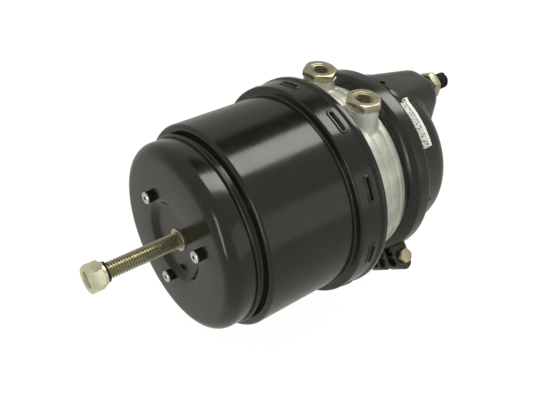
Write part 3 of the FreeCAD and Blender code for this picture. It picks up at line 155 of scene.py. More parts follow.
# Sizes and colours that a user would change
class ChamberSizes(bpy.types.PropertyGroup):
    turn_steps: IntProperty(
        name="Turning steps", description="Faces round each turned shell",
        default=192, min=48, max=256,
    )
    thread_depth: FloatProperty(
        name="Thread depth", description="Height of the release bolt's thread", default=0.0012,
        min=0.0001, max=0.003, subtype="DISTANCE", unit="LENGTH",
    )
    slot_rim: FloatProperty(
        name="Slot rim", description="Height of the raised rims round the locking slots", default=0.0015,
        min=0.0, max=0.004, subtype="DISTANCE", unit="LENGTH",
    )
    cast_grain: FloatProperty(
        name="Casting grain", description="Depth of the blasted casting's grain", default=0.00012,
        min=0.0, max=0.001, subtype="DISTANCE", unit="LENGTH",
    )


class ChamberColours(bpy.types.PropertyGroup):
    shell_paint: FloatVectorProperty(
        name="Shell paint", description="Gloss paint of the spring housing and its cap",
        default=(0.008, 0.008, 0.0065), min=0, max=1, subtype="COLOR",
    )
    bowl_paint: FloatVectorProperty(
        name="Bowl paint", description="Satin paint of the service housing and the band",
        default=(0.009, 0.009, 0.0075), min=0, max=1, subtype="COLOR",
    )
    plating: FloatVectorProperty(
        name="Yellow plating", description="Passivated zinc on fittings, nuts and bolts",
        default=(0.42, 0.395, 0.265), min=0, max=1, subtype="COLOR",
    )
    casting: FloatVectorProperty(
        name="Casting", description="Blasted aluminium of the flange housing",
        default=(0.66, 0.66, 0.61), min=0, max=1, subtype="COLOR",
    )


# Node materials

class Finish:
    """A material whose colour, roughness and relief come from noise on object coordinates."""

    def __init__(self, name, metallic=0.0, roughness=0.5, coat=0.0, specular=0.5):
        self.material = bpy.data.materials.new(name)
        self.material.use_nodes = True
        self.nodes = self.material.node_tree.nodes
        self.links = self.material.node_tree.links
        self.shader = self.nodes["Principled BSDF"]
        self.shader.inputs["Metallic"].default_value = metallic
        self.shader.inputs["Roughness"].default_value = roughness
        self.shader.inputs["Coat Weight"].default_value = coat
        self.shader.inputs["Coat Roughness"].default_value = 0.08
        self.shader.inputs["Specular IOR Level"].default_value = specular
        self.place = self.nodes.new("ShaderNodeTexCoord").outputs["Object"]
        self.relief = None

    def noise(self, scale, detail=3.0, stretch=None):
        place = self.place
        if stretch:
            mapping = self.nodes.new("ShaderNodeMapping")
            mapping.inputs["Scale"].default_value = stretch
            self.links.new(place, mapping.inputs["Vector"])
            place = mapping.outputs["Vector"]
        noise = self.nodes.new("ShaderNodeTexNoise")
        noise.inputs["Scale"].default_value = scale
        noise.inputs["Detail"].default_value = detail
        self.links.new(place, noise.inputs["Vector"])
        return noise.outputs["Fac"]

    def ramp(self, source, low, high, dark, light):
        ramp = self.nodes.new("ShaderNodeValToRGB")
        ramp.color_ramp.elements[0].position = low
        ramp.color_ramp.elements[1].position = high
        ramp.color_ramp.elements[0].color = (*dark, 1)
        ramp.color_ramp.elements[1].color = (*light, 1)
        self.links.new(source, ramp.inputs["Fac"])
        return ramp.outputs["Color"]

    def colour(self, source, dark, light, low=0.35, high=0.65):
        self.links.new(self.ramp(source, low, high, dark, light), self.shader.inputs["Base Color"])
        return self

    def gloss(self, source, smooth, rough):
        spread = self.nodes.new("ShaderNodeMapRange")
        spread.inputs["From Min"].default_value = 0.3
        spread.inputs["From Max"].default_value = 0.7
        spread.inputs["To Min"].default_value = smooth
        spread.inputs["To Max"].default_value = rough
        self.links.new(source, spread.inputs["Value"])
        self.links.new(spread.outputs["Result"], self.shader.inputs["Roughness"])
        return self

    def bump(self, source, depth, strength=1.0):
        bump = self.nodes.new("ShaderNodeBump")
        bump.inputs["Distance"].default_value = depth
        bump.inputs["Strength"].default_value = strength
        self.links.new(source, bump.inputs["Height"])
        if self.relief is not None:
            self.links.new(self.relief, bump.inputs["Normal"])
        self.relief = bump.outputs["Normal"]
        self.links.new(self.relief, self.shader.inputs["Normal"])
        return self


def shade(colour, factor):
    return tuple(min(1.0, channel * factor) for channel in colour)


def make_finishes():
    colours = bpy.context.scene.chamber_colours
    sizes = bpy.context.scene.chamber_sizes
    finishes = {}

    paint = Finish("gloss_black_paint", roughness=0.2)
    shell = tuple(colours.shell_paint)
    paint.colour(paint.noise(35, 4), shade(shell, 0.8), shade(shell, 1.25))
    paint.gloss(paint.noise(60, 3), 0.13, 0.2)
    paint.bump(paint.noise(420, 2), 0.00002, 0.35)
    finishes["black_gloss_paint"] = paint

    satin = Finish("satin_black_paint", roughness=0.34)
    bowl = tuple(colours.bowl_paint)
    satin.colour(satin.noise(45, 4), shade(bowl, 0.8), shade(bowl, 1.3))
    satin.gloss(satin.noise(80, 3), 0.16, 0.25)
    satin.bump(satin.noise(500, 2), 0.00002, 0.15)
    finishes["black_paint"] = satin

    zinc = Finish("yellow_zinc", metallic=1.0, roughness=0.3)
    plating = tuple(colours.plating)
    zinc.colour(zinc.noise(90, 3), shade(plating, 0.9), (0.48, 0.43, 0.32))
    zinc.gloss(zinc.noise(300, 3), 0.24, 0.38)
    zinc.bump(zinc.noise(900, 2), 0.00001, 0.25)
    finishes["yellow_zinc"] = zinc

    # Lighter copy of the yellow zinc: painted light, standing in for the bright flats that a lamp near
    # the camera gives the release nut
    painted_light_zinc = Finish("zinc_with_painted_light", metallic=1.0, roughness=0.3)
    painted_light_zinc.colour(painted_light_zinc.noise(90, 3), (0.78, 0.76, 0.56), (0.88, 0.85, 0.66))
    painted_light_zinc.gloss(painted_light_zinc.noise(300, 3), 0.26, 0.38)
    finishes["zinc_with_painted_light"] = painted_light_zinc
    finishes["label_film"] = label_finish()

    cast = Finish("blasted_aluminium", metallic=0.85, roughness=0.5)
    casting = tuple(colours.casting)
    cast.colour(cast.noise(60, 5), shade(casting, 0.82), shade(casting, 1.08))
    cast.gloss(cast.noise(200, 3), 0.46, 0.6)
    cast.bump(cast.noise(1400, 3), sizes.cast_grain, 0.5)
    cast.bump(cast.noise(180, 2), sizes.cast_grain, 0.5)
    finishes["cast_aluminium"] = cast

    piston = Finish("die_cast_aluminium", metallic=0.9, roughness=0.4)
    piston.colour(piston.noise(80, 4), (0.46, 0.46, 0.46), (0.58, 0.58, 0.57))
    piston.gloss(piston.noise(250, 3), 0.34, 0.5)
    piston.bump(piston.noise(900, 2), 0.00005, 0.3)
    finishes["piston_aluminium"] = piston

    stud = Finish("black_phosphate", metallic=0.4, roughness=0.5)
    stud.colour(stud.noise(600, 4), (0.012, 0.012, 0.01), (0.032, 0.032, 0.026))
    stud.gloss(stud.noise(500, 3), 0.36, 0.6)
    stud.bump(stud.noise(900, 3), 0.0001, 0.6)
    finishes["black_stud"] = stud

    screw = Finish("black_oxide", metallic=0.6, roughness=0.35)
    screw.colour(screw.noise(700, 4), (0.02, 0.02, 0.02), (0.05, 0.05, 0.048))
    screw.gloss(screw.noise(500, 3), 0.28, 0.45)
    finishes["black_screw"] = screw

    steel = Finish("bright_steel", metallic=1.0, roughness=0.28)
    steel.colour(steel.noise(90, 4, (1, 12, 12)), (0.68, 0.68, 0.66), (0.86, 0.86, 0.84))
    steel.gloss(steel.noise(500, 3, (1, 8, 8)), 0.2, 0.36)
    finishes["ground_steel"] = steel

    dark = Finish("oiled_steel", metallic=0.9, roughness=0.35)
    dark.colour(dark.noise(400, 4), (0.035, 0.035, 0.03), (0.08, 0.078, 0.07))
    dark.gloss(dark.noise(500, 3), 0.28, 0.45)
    finishes["dark_steel"] = dark

    washer = Finish("soft_aluminium", metallic=1.0, roughness=0.35)
    washer.colour(washer.noise(300, 3), (0.6, 0.6, 0.59), (0.74, 0.74, 0.73))
    washer.gloss(washer.noise(600, 3), 0.3, 0.45)
    finishes["soft_aluminium"] = washer

    brass = Finish("turned_brass", metallic=1.0, roughness=0.32)
    brass.colour(brass.noise(200, 4), (0.52, 0.46, 0.32), (0.7, 0.62, 0.44))
    brass.gloss(brass.noise(700, 2, (1, 6, 6)), 0.24, 0.4)
    finishes["brass_bush"] = brass

    rubber = Finish("moulded_rubber", roughness=0.6, specular=0.4)
    rubber.colour(rubber.noise(150, 4), (0.012, 0.012, 0.012), (0.024, 0.024, 0.023))
    rubber.gloss(rubber.noise(400, 3), 0.5, 0.72)
    rubber.bump(rubber.noise(2200, 2), 0.00004, 0.5)
    finishes["black_rubber"] = rubber

    guide = Finish("guide_plastic", roughness=0.42)
    guide.colour(guide.noise(120, 3), (0.66, 0.63, 0.54), (0.76, 0.73, 0.65))
    guide.gloss(guide.noise(600, 2), 0.36, 0.5)
    finishes["guide_plastic"] = guide

    grey = Finish("grey_plastic", roughness=0.45)
    grey.colour(grey.noise(160, 3), (0.1, 0.1, 0.1), (0.14, 0.14, 0.14))
    grey.gloss(grey.noise(600, 2), 0.38, 0.55)
    finishes["grey_plastic"] = grey

    coat = Finish("spring_coating", roughness=0.4)
    coat.colour(coat.noise(140, 4), (0.03, 0.034, 0.04), (0.05, 0.055, 0.062))
    coat.gloss(coat.noise(300, 3), 0.32, 0.5)
    coat.bump(coat.noise(900, 2), 0.00004, 0.4)
    finishes["spring_paint"] = coat
    return {slot: finish.material for slot, finish in finishes.items()}


FINISHES = {}


def finish_for(slot):
    if not FINISHES:
        FINISHES.update(make_finishes())
    return FINISHES[slot]


def label_finish():
    """Off-white film with plain grey bars on the side towards the band, laid by place."""
    label = Finish("label_film", roughness=0.4)
    split = label.nodes.new("ShaderNodeSeparateXYZ")
    label.links.new(label.place, split.inputs[0])
    angle = label.nodes.new("ShaderNodeMath")
    angle.operation = "ARCTAN2"
    label.links.new(split.outputs["Z"], angle.inputs[0])
    label.links.new(split.outputs["Y"], angle.inputs[1])
    arc = label.nodes.new("ShaderNodeMath")
    arc.operation = "MULTIPLY"
    arc.inputs[1].default_value = LABEL_ROLL_R * MM
    label.links.new(angle.outputs[0], arc.inputs[0])
    flat = label.nodes.new("ShaderNodeCombineXYZ")
    label.links.new(arc.outputs[0], flat.inputs["X"])
    label.links.new(split.outputs["X"], flat.inputs["Y"])
    bars = label.nodes.new("ShaderNodeTexBrick")
    bars.inputs["Color1"].default_value = (0.06, 0.06, 0.06, 1)
    bars.inputs["Color2"].default_value = (0.6, 0.6, 0.59, 1)
    bars.inputs["Mortar"].default_value = LABEL_WHITE
    bars.inputs["Scale"].default_value = 1.0
    bars.inputs["Brick Width"].default_value = 0.0024
    bars.inputs["Row Height"].default_value = 0.0036
    bars.inputs["Mortar Size"].default_value = 0.0003
    label.links.new(flat.outputs[0], bars.inputs["Vector"])
    printed = label.nodes.new("ShaderNodeMath")
    printed.operation = "LESS_THAN"
    printed.inputs[1].default_value = LABEL_PRINT_X * MM
    label.links.new(split.outputs["X"], printed.inputs[0])
    mix = label.nodes.new("ShaderNodeMixRGB")
    mix.inputs["Color1"].default_value = LABEL_WHITE
    label.links.new(printed.outputs[0], mix.inputs["Fac"])
    label.links.new(bars.outputs["Color"], mix.inputs["Color2"])
    label.links.new(mix.outputs["Color"], label.shader.inputs["Base Color"])
    return label


# Modelling helpers: every shape is drawn in place, so each object stays at the origin

def deselect_all():
    if bpy.context.object and bpy.context.object.mode != "OBJECT":
        bpy.ops.object.mode_set(mode="OBJECT")
    bpy.ops.object.select_all(action="DESELECT")


def activate(piece, *others):
    deselect_all()
    for item in (piece, *others):
        item.select_set(True)
    bpy.context.view_layer.objects.active = piece


def edit(piece):
    activate(piece)
    bpy.ops.object.mode_set(mode="EDIT")
    return bmesh.from_edit_mesh(piece.data)


def leave_edit():
    bpy.ops.object.mode_set(mode="OBJECT")


def select_vertices(piece, test):
    """In edit mode, selects the vertices that pass the test and returns how many there are."""
    mesh = bmesh.from_edit_mesh(piece.data)
    bpy.ops.mesh.select_mode(type="VERT")
    bpy.ops.mesh.select_all(action="DESELECT")
    found = 0
    for vertex in mesh.verts:
        vertex.select = bool(test(vertex.co))
        found += vertex.select
    mesh.select_flush(True)
    bmesh.update_edit_mesh(piece.data)
    return found


def drawn_outline(name, corners, closed=True):
    """A chain of vertices through corners (x, r, rounding) in millimetres, drawn in the XZ plane."""
    deselect_all()
    bpy.ops.mesh.primitive_plane_add(size=MM)
    piece = bpy.context.object
    piece.name = name
    piece.data.name = name
    bpy.ops.object.mode_set(mode="EDIT")
    bpy.ops.mesh.select_mode(type="VERT")
    bpy.ops.mesh.select_all(action="SELECT")
    bpy.ops.mesh.merge(type="CENTER")
    spots = [Vector((corner[0] * MM, 0, corner[1] * MM)) for corner in corners]
    bpy.ops.transform.translate(value=spots[0])
    for before, after in zip(spots, spots[1:]):
        bpy.ops.mesh.extrude_region_move(TRANSFORM_OT_translate={"value": after - before})
    if closed:
        first, last = spots[0], spots[-1]
        select_vertices(piece, lambda co: (co - first).length < 1e-7 or (co - last).length < 1e-7)
        bpy.ops.mesh.edge_face_add()
    count = len(corners)
    for i, corner in enumerate(corners):
        if len(corner) < 3 or not corner[2]:
            continue
        spot = spots[i]
        before = spots[i - 1] - spot
        after = spots[(i + 1) % count] - spot
        half_angle = before.angle(after) / 2
        reach = min(corner[2] * MM / math.tan(half_angle), 0.495 * before.length, 0.495 * after.length)
        steps = max(2, min(12, int(corner[2] * (math.pi - half_angle * 2) * 0.9) + 2))
        select_vertices(piece, lambda co: (co - spot).length < 1e-7)
        bpy.ops.mesh.bevel(offset=reach, offset_type="OFFSET", segments=steps, affect="VERTICES")
    return piece


def close_shell(merge=1e-6):
    """In edit mode: merges doubles and turns every face outwards."""
    bpy.ops.mesh.select_all(action="SELECT")
    bpy.ops.mesh.remove_doubles(threshold=merge)
    bpy.ops.mesh.normals_make_consistent(inside=False)


def turned_piece(name, corners, steps=None, angle=math.tau):
    """An outline spun round the X axis: a closed ring, or a solid if it starts and ends on the axis."""
    on_axis = corners[0][1] == 0 and corners[-1][1] == 0
    piece = drawn_outline(name, corners, closed=not on_axis)
    steps = steps or bpy.context.scene.chamber_sizes.turn_steps
    bpy.ops.mesh.select_all(action="SELECT")
    bpy.ops.mesh.spin(steps=steps, angle=angle, center=(0, 0, 0), axis=(1, 0, 0))
    close_shell()
    leave_edit()
    return piece


def smooth(piece, degrees=32):
    activate(piece)
    bpy.ops.object.shade_smooth_by_angle(angle=math.radians(degrees))
    return piece


def settle(piece):
    """Applies the object's place to its mesh."""
    activate(piece)
    bpy.ops.object.transform_apply(location=True, rotation=True, scale=True)
    return piece


def placed(piece, turn=(0, 0, 0), spot=(0, 0, 0)):
    """Turns a piece by Euler angles and moves it by millimetres, kept in its mesh."""
    piece.rotation_euler = turn
    piece.location = Vector(spot) * MM
    return settle(piece)


def turned_copy(piece, name, angle):
    """A copy with its own mesh, turned round the X axis."""
    return placed(copied(piece, name), (angle, 0, 0))


def copied(piece, name):
    activate(piece)
    bpy.ops.object.duplicate()
    copy = bpy.context.object
    copy.name = name
    copy.data.name = name
    return copy


def moved_copy(piece, name, offset):
    return placed(copied(piece, name), spot=offset)


def block_piece(name, low, high):
    """A box between two corners in millimetres."""
    deselect_all()
    low, high = Vector(low), Vector(high)
    bpy.ops.mesh.primitive_cube_add(size=1, location=(low + high) / 2 * MM)
    piece = bpy.context.object
    piece.name = name
    piece.scale = (high - low) * MM
    return settle(piece)


def modify(piece, kind, **values):
    """Adds one modifier with these values and applies it."""
    activate(piece)
    bpy.ops.object.modifier_add(type=kind)
    modifier = piece.modifiers[-1]
    for name, value in values.items():
        setattr(modifier, name, value)
    bpy.ops.object.modifier_apply(modifier=modifier.name)
    return piece


def melt(piece, voxel, rounds):
    """Merges overlapping shells into one skin and blends the corners between them."""
    modify(piece, "REMESH", mode="VOXEL", voxel_size=voxel * MM)
    return modify(piece, "SMOOTH", factor=0.5, iterations=rounds)


def join(piece, *others):
    activate(piece, *others)
    bpy.ops.object.join()
    return piece


def carve(piece, cutter, operation="DIFFERENCE"):
    """Cuts, joins or trims a piece with another, which is then removed."""
    modify(piece, "BOOLEAN", object=cutter, operation=operation, solver="EXACT")
    bpy.data.objects.remove(cutter)
    return piece


def bar(name, start, direction, radius, length, faces=48):
    """A round bar from start along a direction, in millimetres."""
    deselect_all()
    way = Vector(direction).normalized()
    middle = Vector(start) + way * (length / 2)
    bpy.ops.mesh.primitive_cylinder_add(
        vertices=faces, radius=radius * MM, depth=length * MM, location=middle * MM,
        rotation=way.to_track_quat("Z", "X").to_euler(),
    )
    piece = bpy.context.object
    piece.name = name
    return settle(piece)


def thread_ridge(name, start, length, crest, depth, pitch, inside=False, steps=36):
    """A helical ridge on the X axis, crest outwards or, in a bore, inwards; sizes in millimetres."""
    foot = crest + depth if inside else crest - depth
    under = foot + 0.12 if inside else foot - 0.12
    flat = pitch * 0.08
    piece = drawn_outline(name, [
        (start + flat, under), (start + flat, foot), (start + pitch / 2 - flat, crest),
        (start + pitch / 2 + flat, crest), (start + pitch - flat, foot), (start + pitch - flat, under),
    ])
    bpy.ops.mesh.select_all(action="SELECT")
    bpy.ops.mesh.edge_face_add()
    leave_edit()
    modify(
        piece, "SCREW", axis="X", angle=math.tau, screw_offset=pitch * MM, steps=steps,
        render_steps=steps, iterations=max(1, int(length / pitch) - 1), use_merge_vertices=True,
    )
    edit(piece)
    bpy.ops.mesh.select_all(action="SELECT")
    bpy.ops.mesh.remove_doubles(threshold=1e-7)
    bpy.ops.mesh.fill_holes(sides=0)
    close_shell(merge=1e-7)
    leave_edit()
    return piece


def hexagon_bar(name, flats, x, length, bore, ends=("low", "high"), chamfer=0.95):
    """A hexagon nut or head on the X axis, turned off at the named ends, with a bore if given."""
    corner = flats / math.cos(math.pi / 6) / 2
    deselect_all()
    bpy.ops.mesh.primitive_cylinder_add(
        vertices=6, radius=corner * MM, depth=length * MM,
        location=((x + length / 2) * MM, 0, 0), rotation=(0, math.pi / 2, 0),
    )
    piece = bpy.context.object
    piece.name = name
    settle(piece)
    face_r = flats * chamfer / 2
    wide = corner + 2
    reach = (wide - face_r) * math.tan(math.pi / 6)
    far = x + length
    low = [(x - 1, 0), (x - 1, wide)]
    high = [(far + 1, wide), (far + 1, 0)]
    if "low" in ends:
        low = [(x, 0), (x, face_r), (x + reach, wide)]
    if "high" in ends:
        high = [(far - reach, wide), (far, face_r), (far, 0)]
    envelope = turned_piece(f"{name}_envelope", low + high, steps=96)
    carve(piece, envelope, "INTERSECT")
    if bore:
        mouth = bore * 0.14
        carve(piece, turned_piece(f"{name}_bore", [
            (x - 2, 0), (x - 2, bore + mouth + 2), (x + mouth, bore), (far - mouth, bore),
            (far + 2, bore + mouth + 2), (far + 2, 0),
        ], steps=64))
    edit(piece)
    close_shell()
    leave_edit()
    return soften(piece, 0.25)


def soften(piece, width, segments=2, degrees=30):
    """Breaks the sharp edges of a piece by width in millimetres."""
    return modify(
        piece, "BEVEL", width=width * MM, segments=segments, limit_method="ANGLE",
        angle_limit=math.radians(degrees), use_clamp_overlap=True,
    )


def dress(piece, slot, body, *nodes, smooth_angle=32, finish=None):
    """Gives a finished piece its material, its body and the CAD nodes it stands for."""
    smooth(piece, smooth_angle)
    piece.data.materials.clear()
    piece.data.materials.append(finish_for(finish or slot))
    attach(piece, body)
    if nodes:
        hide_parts(*nodes)
    return piece


# Spring housing with its locking slots
class BRAKE_OT_spring_housing(bpy.types.Operator):
    """Drawn shell of the spring chamber, with the collar and its slots"""
    bl_idname = "brake.spring_housing"
    bl_label = "Spring housing"

    def execute(self, context):
        sizes = context.scene.chamber_sizes
        shell = turned_piece("spring_shell", [
            (COLLAR_X, 98.6, 0.6), (COLLAR_X, 101.6, 1.2), (-144.5, 101.6, 2.2),
            (-147.2, COLLAR_R, 2.4), (STEP_X, COLLAR_R, 2.2), (STEP_X, 92, 1.6),
            (SHOULDER_X, 92, 8.2), (SHOULDER_X, 84.1, 0.8),
            (SHOULDER_X + 3.3, 84.1), (SHOULDER_X + 3.3, 88.72, 3), (STEP_X + 3.3, 88.72, 2),
            (STEP_X + 3.3, 96.6, 1.5), (-147, 96.6, 1.5), (-144.5, 98.6, 1.5),
        ])
        slot_x = COLLAR_X - 14.5
        cutter = self.slot_cutter(slot_x)
        rim = self.slot_rim(slot_x, sizes.slot_rim / MM)
        cutters = []
        rims = []
        for i in range(SLOT_COUNT):
            turn = math.radians(SLOT_FIRST + SLOT_STEP * i)
            cutters.append(turned_copy(cutter, f"slot_cutter_{i}", turn))
            rims.append(turned_copy(rim, f"slot_rim_{i}", turn))
        for pattern in (cutter, rim):
            bpy.data.objects.remove(pattern)
        carve(shell, join(*cutters))
        join(shell, join(*rims))
        dress(shell, "black_gloss_paint", "housing", "spring_housing")
        return {"FINISHED"}

    def slot_cutter(self, x):
        """A round bar stretched across into a slot."""
        cutter = bar("pattern_slot_cutter", (x, -9, 90), (0, 0, 1), 1.15, 20, 24)
        edit(cutter)
        select_vertices(cutter, lambda co: co.y > -9 * MM)
        bpy.ops.transform.translate(value=(0, 18 * MM, 0))
        bpy.ops.mesh.select_all(action="SELECT")
        leave_edit()
        return cutter

    def slot_rim(self, x, height):
        """A stretched ring round one slot, bent to the collar's curve."""
        deselect_all()
        bpy.ops.mesh.primitive_torus_add(
            major_radius=SLOT_RIM_MAJOR * MM, minor_radius=SLOT_RIM_MINOR * MM,
            major_segments=40, minor_segments=14, location=(x * MM, 0, SLOT_RIM_R * MM),
        )
        rim = bpy.context.object
        rim.name = "pattern_slot_rim"
        settle(rim)
        edit(rim)
        for side in (1, -1):
            select_vertices(rim, lambda co: co.y * side > 0.01 * MM)
            bpy.ops.transform.translate(value=(0, side * SLOT_RIM_STRETCH * MM, 0))
        bpy.ops.mesh.select_all(action="SELECT")
        bpy.ops.transform.resize(
            value=(1, 1, height / SLOT_RIM_MINOR), center_override=(x * MM, 0, SLOT_RIM_R * MM)
        )
        leave_edit()
        collar = COLLAR_R * MM
        for vertex in rim.data.vertices:
            vertex.co.z -= collar - math.sqrt(collar ** 2 - vertex.co.y ** 2)
        return rim


# End cap, its lock ring and screws
class BRAKE_OT_end_cap(bpy.types.Operator):
    """Dished end cap with its central recess and three socket screws"""
    bl_idname = "brake.end_cap"
    bl_label = "End cap"

    def execute(self, context):
        cap = turned_piece("cap_shell", [
            (CAP_FACE_X + 5, 10.45), (CAP_FACE_X + 5, 31, 3.5), (CAP_FACE_X, 36.8, 4),
            (CAP_FACE_X, 83.7, 15.5), (-265.5, 83.7, 0.4), (-265.5, 81.95, 0.6), (-262, 81.95, 0.6),
            (-262, 83.7, 0.4), (-255.2, 83.7, 0.5), (-255.2, 88.3, 2.6), (-251.9, 88.3, 0.6),
            (-251.9, 80.4, 2), (-286.2, 80.4, 12), (-286.2, 36.6, 3), (-281.2, 31, 3), (-281.2, 10.45),
        ])
        for _, y, z in self.screw_spots():
            carve(cap, bar("screw_hole", (CAP_FACE_X - 3, y, z), X_AXIS, 3.15, 12, 32))
        dress(cap, "black_gloss_paint", "housing", "end_cap")
        self.screws()
        return {"FINISHED"}

    def screw_spots(self):
        """The screws' places round the axis, in millimetres."""
        turns = [math.radians(SCREW_FIRST + SCREW_STEP * i) for i in range(SCREW_COUNT)]
        return [(0, SCREW_CIRCLE_R * math.cos(turn), SCREW_CIRCLE_R * math.sin(turn)) for turn in turns]

    def screws(self):
        """Socket screws with grooved heads and ground faces."""
        head_x = CAP_FACE_X - 6
        head = turned_piece("cap_screw_pattern", [
            (head_x, 0), (head_x, 4.6, 0.4), (head_x + 0.7, 5.15, 0.2), (CAP_FACE_X, 5.15, 0.2),
            (CAP_FACE_X, 3), (CAP_FACE_X + 9.3, 3), (CAP_FACE_X + 9.3, 0),
        ], steps=48)
        edit(head)
        mesh = bmesh.from_edit_mesh(head.data)
        bpy.ops.mesh.select_mode(type="FACE")
        bpy.ops.mesh.select_all(action="DESELECT")
        sides = []
        for side in mesh.faces:
            middle = side.calc_center_median()
            round_wall = abs(side.normal.x) < 0.2 and math.hypot(middle.y, middle.z) > 4.9 * MM
            if round_wall and head_x * MM + 0.001 < middle.x < CAP_FACE_X * MM - 0.0003:
                sides.append((math.atan2(middle.z, middle.y), side))
        sides.sort(key=lambda item: item[0])
        for _, side in sides[::2]:
            side.select = True
        bmesh.update_edit_mesh(head.data)
        bpy.ops.mesh.inset(thickness=GRIP_INSET * MM, use_individual=True)
        bpy.ops.transform.shrink_fatten(value=-GRIP_DEPTH * MM)
        leave_edit()
        face = turned_piece("screw_face_pattern", [
            (head_x - 0.1, 0), (head_x - 0.1, 4.7, 0.4), (head_x + 0.7, 5.3, 0.3),
            (head_x + 2, 5.3, 0.2), (head_x + 2.2, 4.6), (head_x + 2.2, 0),
        ], steps=48)
        for pattern in (head, face):
            carve(pattern, bar("socket", (head_x - 1, 0, 0), X_AXIS, 1.9, 4, 6))
        heads = []
        faces = []
        for i, spot in enumerate(self.screw_spots()):
            heads.append(moved_copy(head, f"cap_screw_head_{i}", spot))
            faces.append(moved_copy(face, f"cap_screw_face_{i}", spot))
        for pattern in (head, face):
            bpy.data.objects.remove(pattern)
        dress(join(*heads), "black_screw", "housing", "cap_screws")
        dress(join(*faces), "ground_steel", "housing")


# Release bolt, nut and their small parts
class BRAKE_OT_release_bolt(bpy.types.Operator):
    """Release bolt with its thread, hexagon nut with a pin bore, and ring"""
    bl_idname = "brake.release_bolt"
    bl_label = "Release bolt"

    def execute(self, context):
        depth = context.scene.chamber_sizes.thread_depth / MM
        low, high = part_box("release_bolt")
        end_x = low.x / MM
        inner_x = high.x / MM
        bolt = turned_piece("release_spindle", [
            (end_x, 0), (end_x, 5.4, 0.3), (end_x + 1, 7.05 - depth, 0.2), (inner_x - 8, 7.05 - depth),
            (inner_x - 8, 10, 0.6), (inner_x, 10, 1), (inner_x, 0),
        ], steps=64)
        thread_length = inner_x - 9 - end_x
        thread = thread_ridge("release_thread", end_x + 0.6, thread_length, 7.08, depth, RELEASE_PITCH)
        join(bolt, thread)
        dress(bolt, "yellow_zinc", "release_bolt", "release_bolt", smooth_angle=25)
        nut_length = 13
        nut = hexagon_bar("release_hexagon", 22, end_x, nut_length, 7.16)
        carve(nut, bar("pin_bore", (end_x + nut_length / 2, 0, -14), (0, 0, 1), 1.6, 28, 24))
        back = end_x + nut_length
        join(nut, turned_piece("release_collar", [
            (back - 0.2, 7.16), (back - 0.2, 9.8), (back + 2.2, 9.8, 0.5), (back + 2.2, 7.16, 0.4),
        ], steps=64))
        # The release nut takes the lighter zinc copy, whose extra brightness is painted light
        dress(
            nut, "yellow_zinc", "release_bolt", "release_nut", smooth_angle=25, finish="zinc_with_painted_light"
        )
        ring = turned_piece("release_keeper", [
            (back + 3.2, 7.2), (back + 3.2, 8.8, 0.4), (back + 4.6, 8.8, 0.4), (back + 4.6, 7.2),
        ], steps=64)
        dress(ring, "dark_steel", "release_bolt", "bolt_ring")
        return {"FINISHED"}


# Flange housing
class BRAKE_OT_flange_housing(bpy.types.Operator):
    """Cast flange with ribs and port pillars that blend into it"""
    bl_idname = "brake.flange_housing"
    bl_label = "Flange housing"

    def execute(self, context):
        core = turned_piece("flange_core", [
            (-165.7, 89), (-165.7, 96.2, 2), (-164.9, 96.2), (-164.9, 93), (-161.7, 93), (-161.7, 96.2),
            (-141, 96.2, 1.5), (-139.5, 95.1), (-139.5, 80), (-98.8, 80), (-97.8, 80.2), (-94, 80.2),
            (-89.5, 87, 0.6), (-85.5, 87), (-85.5, 78.7, 1.5), (-105, 70, 5), (-107, 58, 5),
            (-107, 16.3),
            (-140, 16.3), (-140, 27, 2), (-128, 29, 6), (-128, 74, 8), (-142, 89, 4),
        ])
        ring = turned_piece("flange_ring", [
            (-140.8, 78), (-140.8, 96), (-134, 92, 1.5), (-133, 88.6, 1), (-123.5, 88.4, 0.6),
            (-122.7, 85.2, 0.5), (-119.9, 85.2, 0.5), (-119.1, 86.67, 0.6), (-111, 84.93, 0.6),
            (-110.2, 81.9, 0.5),
            (-107.4, 81.9, 0.5), (-106.6, 84.93, 0.6), (-98.8, 83.2, 1), (-97.9, 80.3), (-97.9, 78),
        ], steps=256)
        cones = []
        for name, y in (("service_pillar", -PORT_Y), ("parking_pillar", PORT_Y)):
            pillar = turned_piece(name, [
                (70, 0), (70, 17), (76, 16.4), (93.5, 13.7, 0.6), (93.5, 0),
            ], steps=96)
            cones.append(placed(pillar, (0, -math.pi / 2, 0), (PORT_X, y, 0)))
        join(ring, *cones)
        melt(ring, voxel=1.0, rounds=3)
        sockets = []
        for y in (-PORT_Y, PORT_Y):
            sockets.append(bar("socket", (PORT_X, y, 83.5), (0, 0, 1), 9.05, 14, 64))
            sockets.append(bar("drill", (PORT_X, y, 68), (0, 0, 1), 4, 18, 32))
        carve(ring, join(*sockets))
        join(core, ring)
        dress(core, "cast_aluminium", "housing", "flange_housing", smooth_angle=40)
        return {"FINISHED"}


# Port fittings
class BRAKE_OT_port_fittings(bpy.types.Operator):
    """Two hexagon port adapters with threaded mouths"""
    bl_idname = "brake.port_fittings"
    bl_label = "Port fittings"

    def execute(self, context):
        hex_height = PORT_TOP - PORT_HEX_FOOT
        pattern = hexagon_bar("port_pattern", 28, PORT_HEX_FOOT, hex_height, 7.95, ends=("high",))
        shank = turned_piece("port_shank", [
            (83.5, 5), (83.5, 9), (PORT_HEX_FOOT + 0.3, 9), (PORT_HEX_FOOT + 0.3, 8),
            (87.5, 8), (87.5, 5),
        ], steps=64)
        ridge = thread_ridge("port_thread", 87.7, 13.6, 7.2, 0.75, METRIC_FINE_PITCH, inside=True)
        join(pattern, shank, ridge)
        placed(pattern, (0, -math.pi / 2, 0))
        for name, node, y, turn in (
            ("service_adapter", "service_port_fitting", -PORT_Y, SERVICE_ADAPTER_TURN),
            ("parking_adapter", "parking_port_fitting", PORT_Y, 0),
        ):
            adapter = placed(copied(pattern, name), (0, 0, turn), (PORT_X, y, 0))
            dress(adapter, "yellow_zinc", "housing", node, smooth_angle=25)
        bpy.data.objects.remove(pattern)
        return {"FINISHED"}


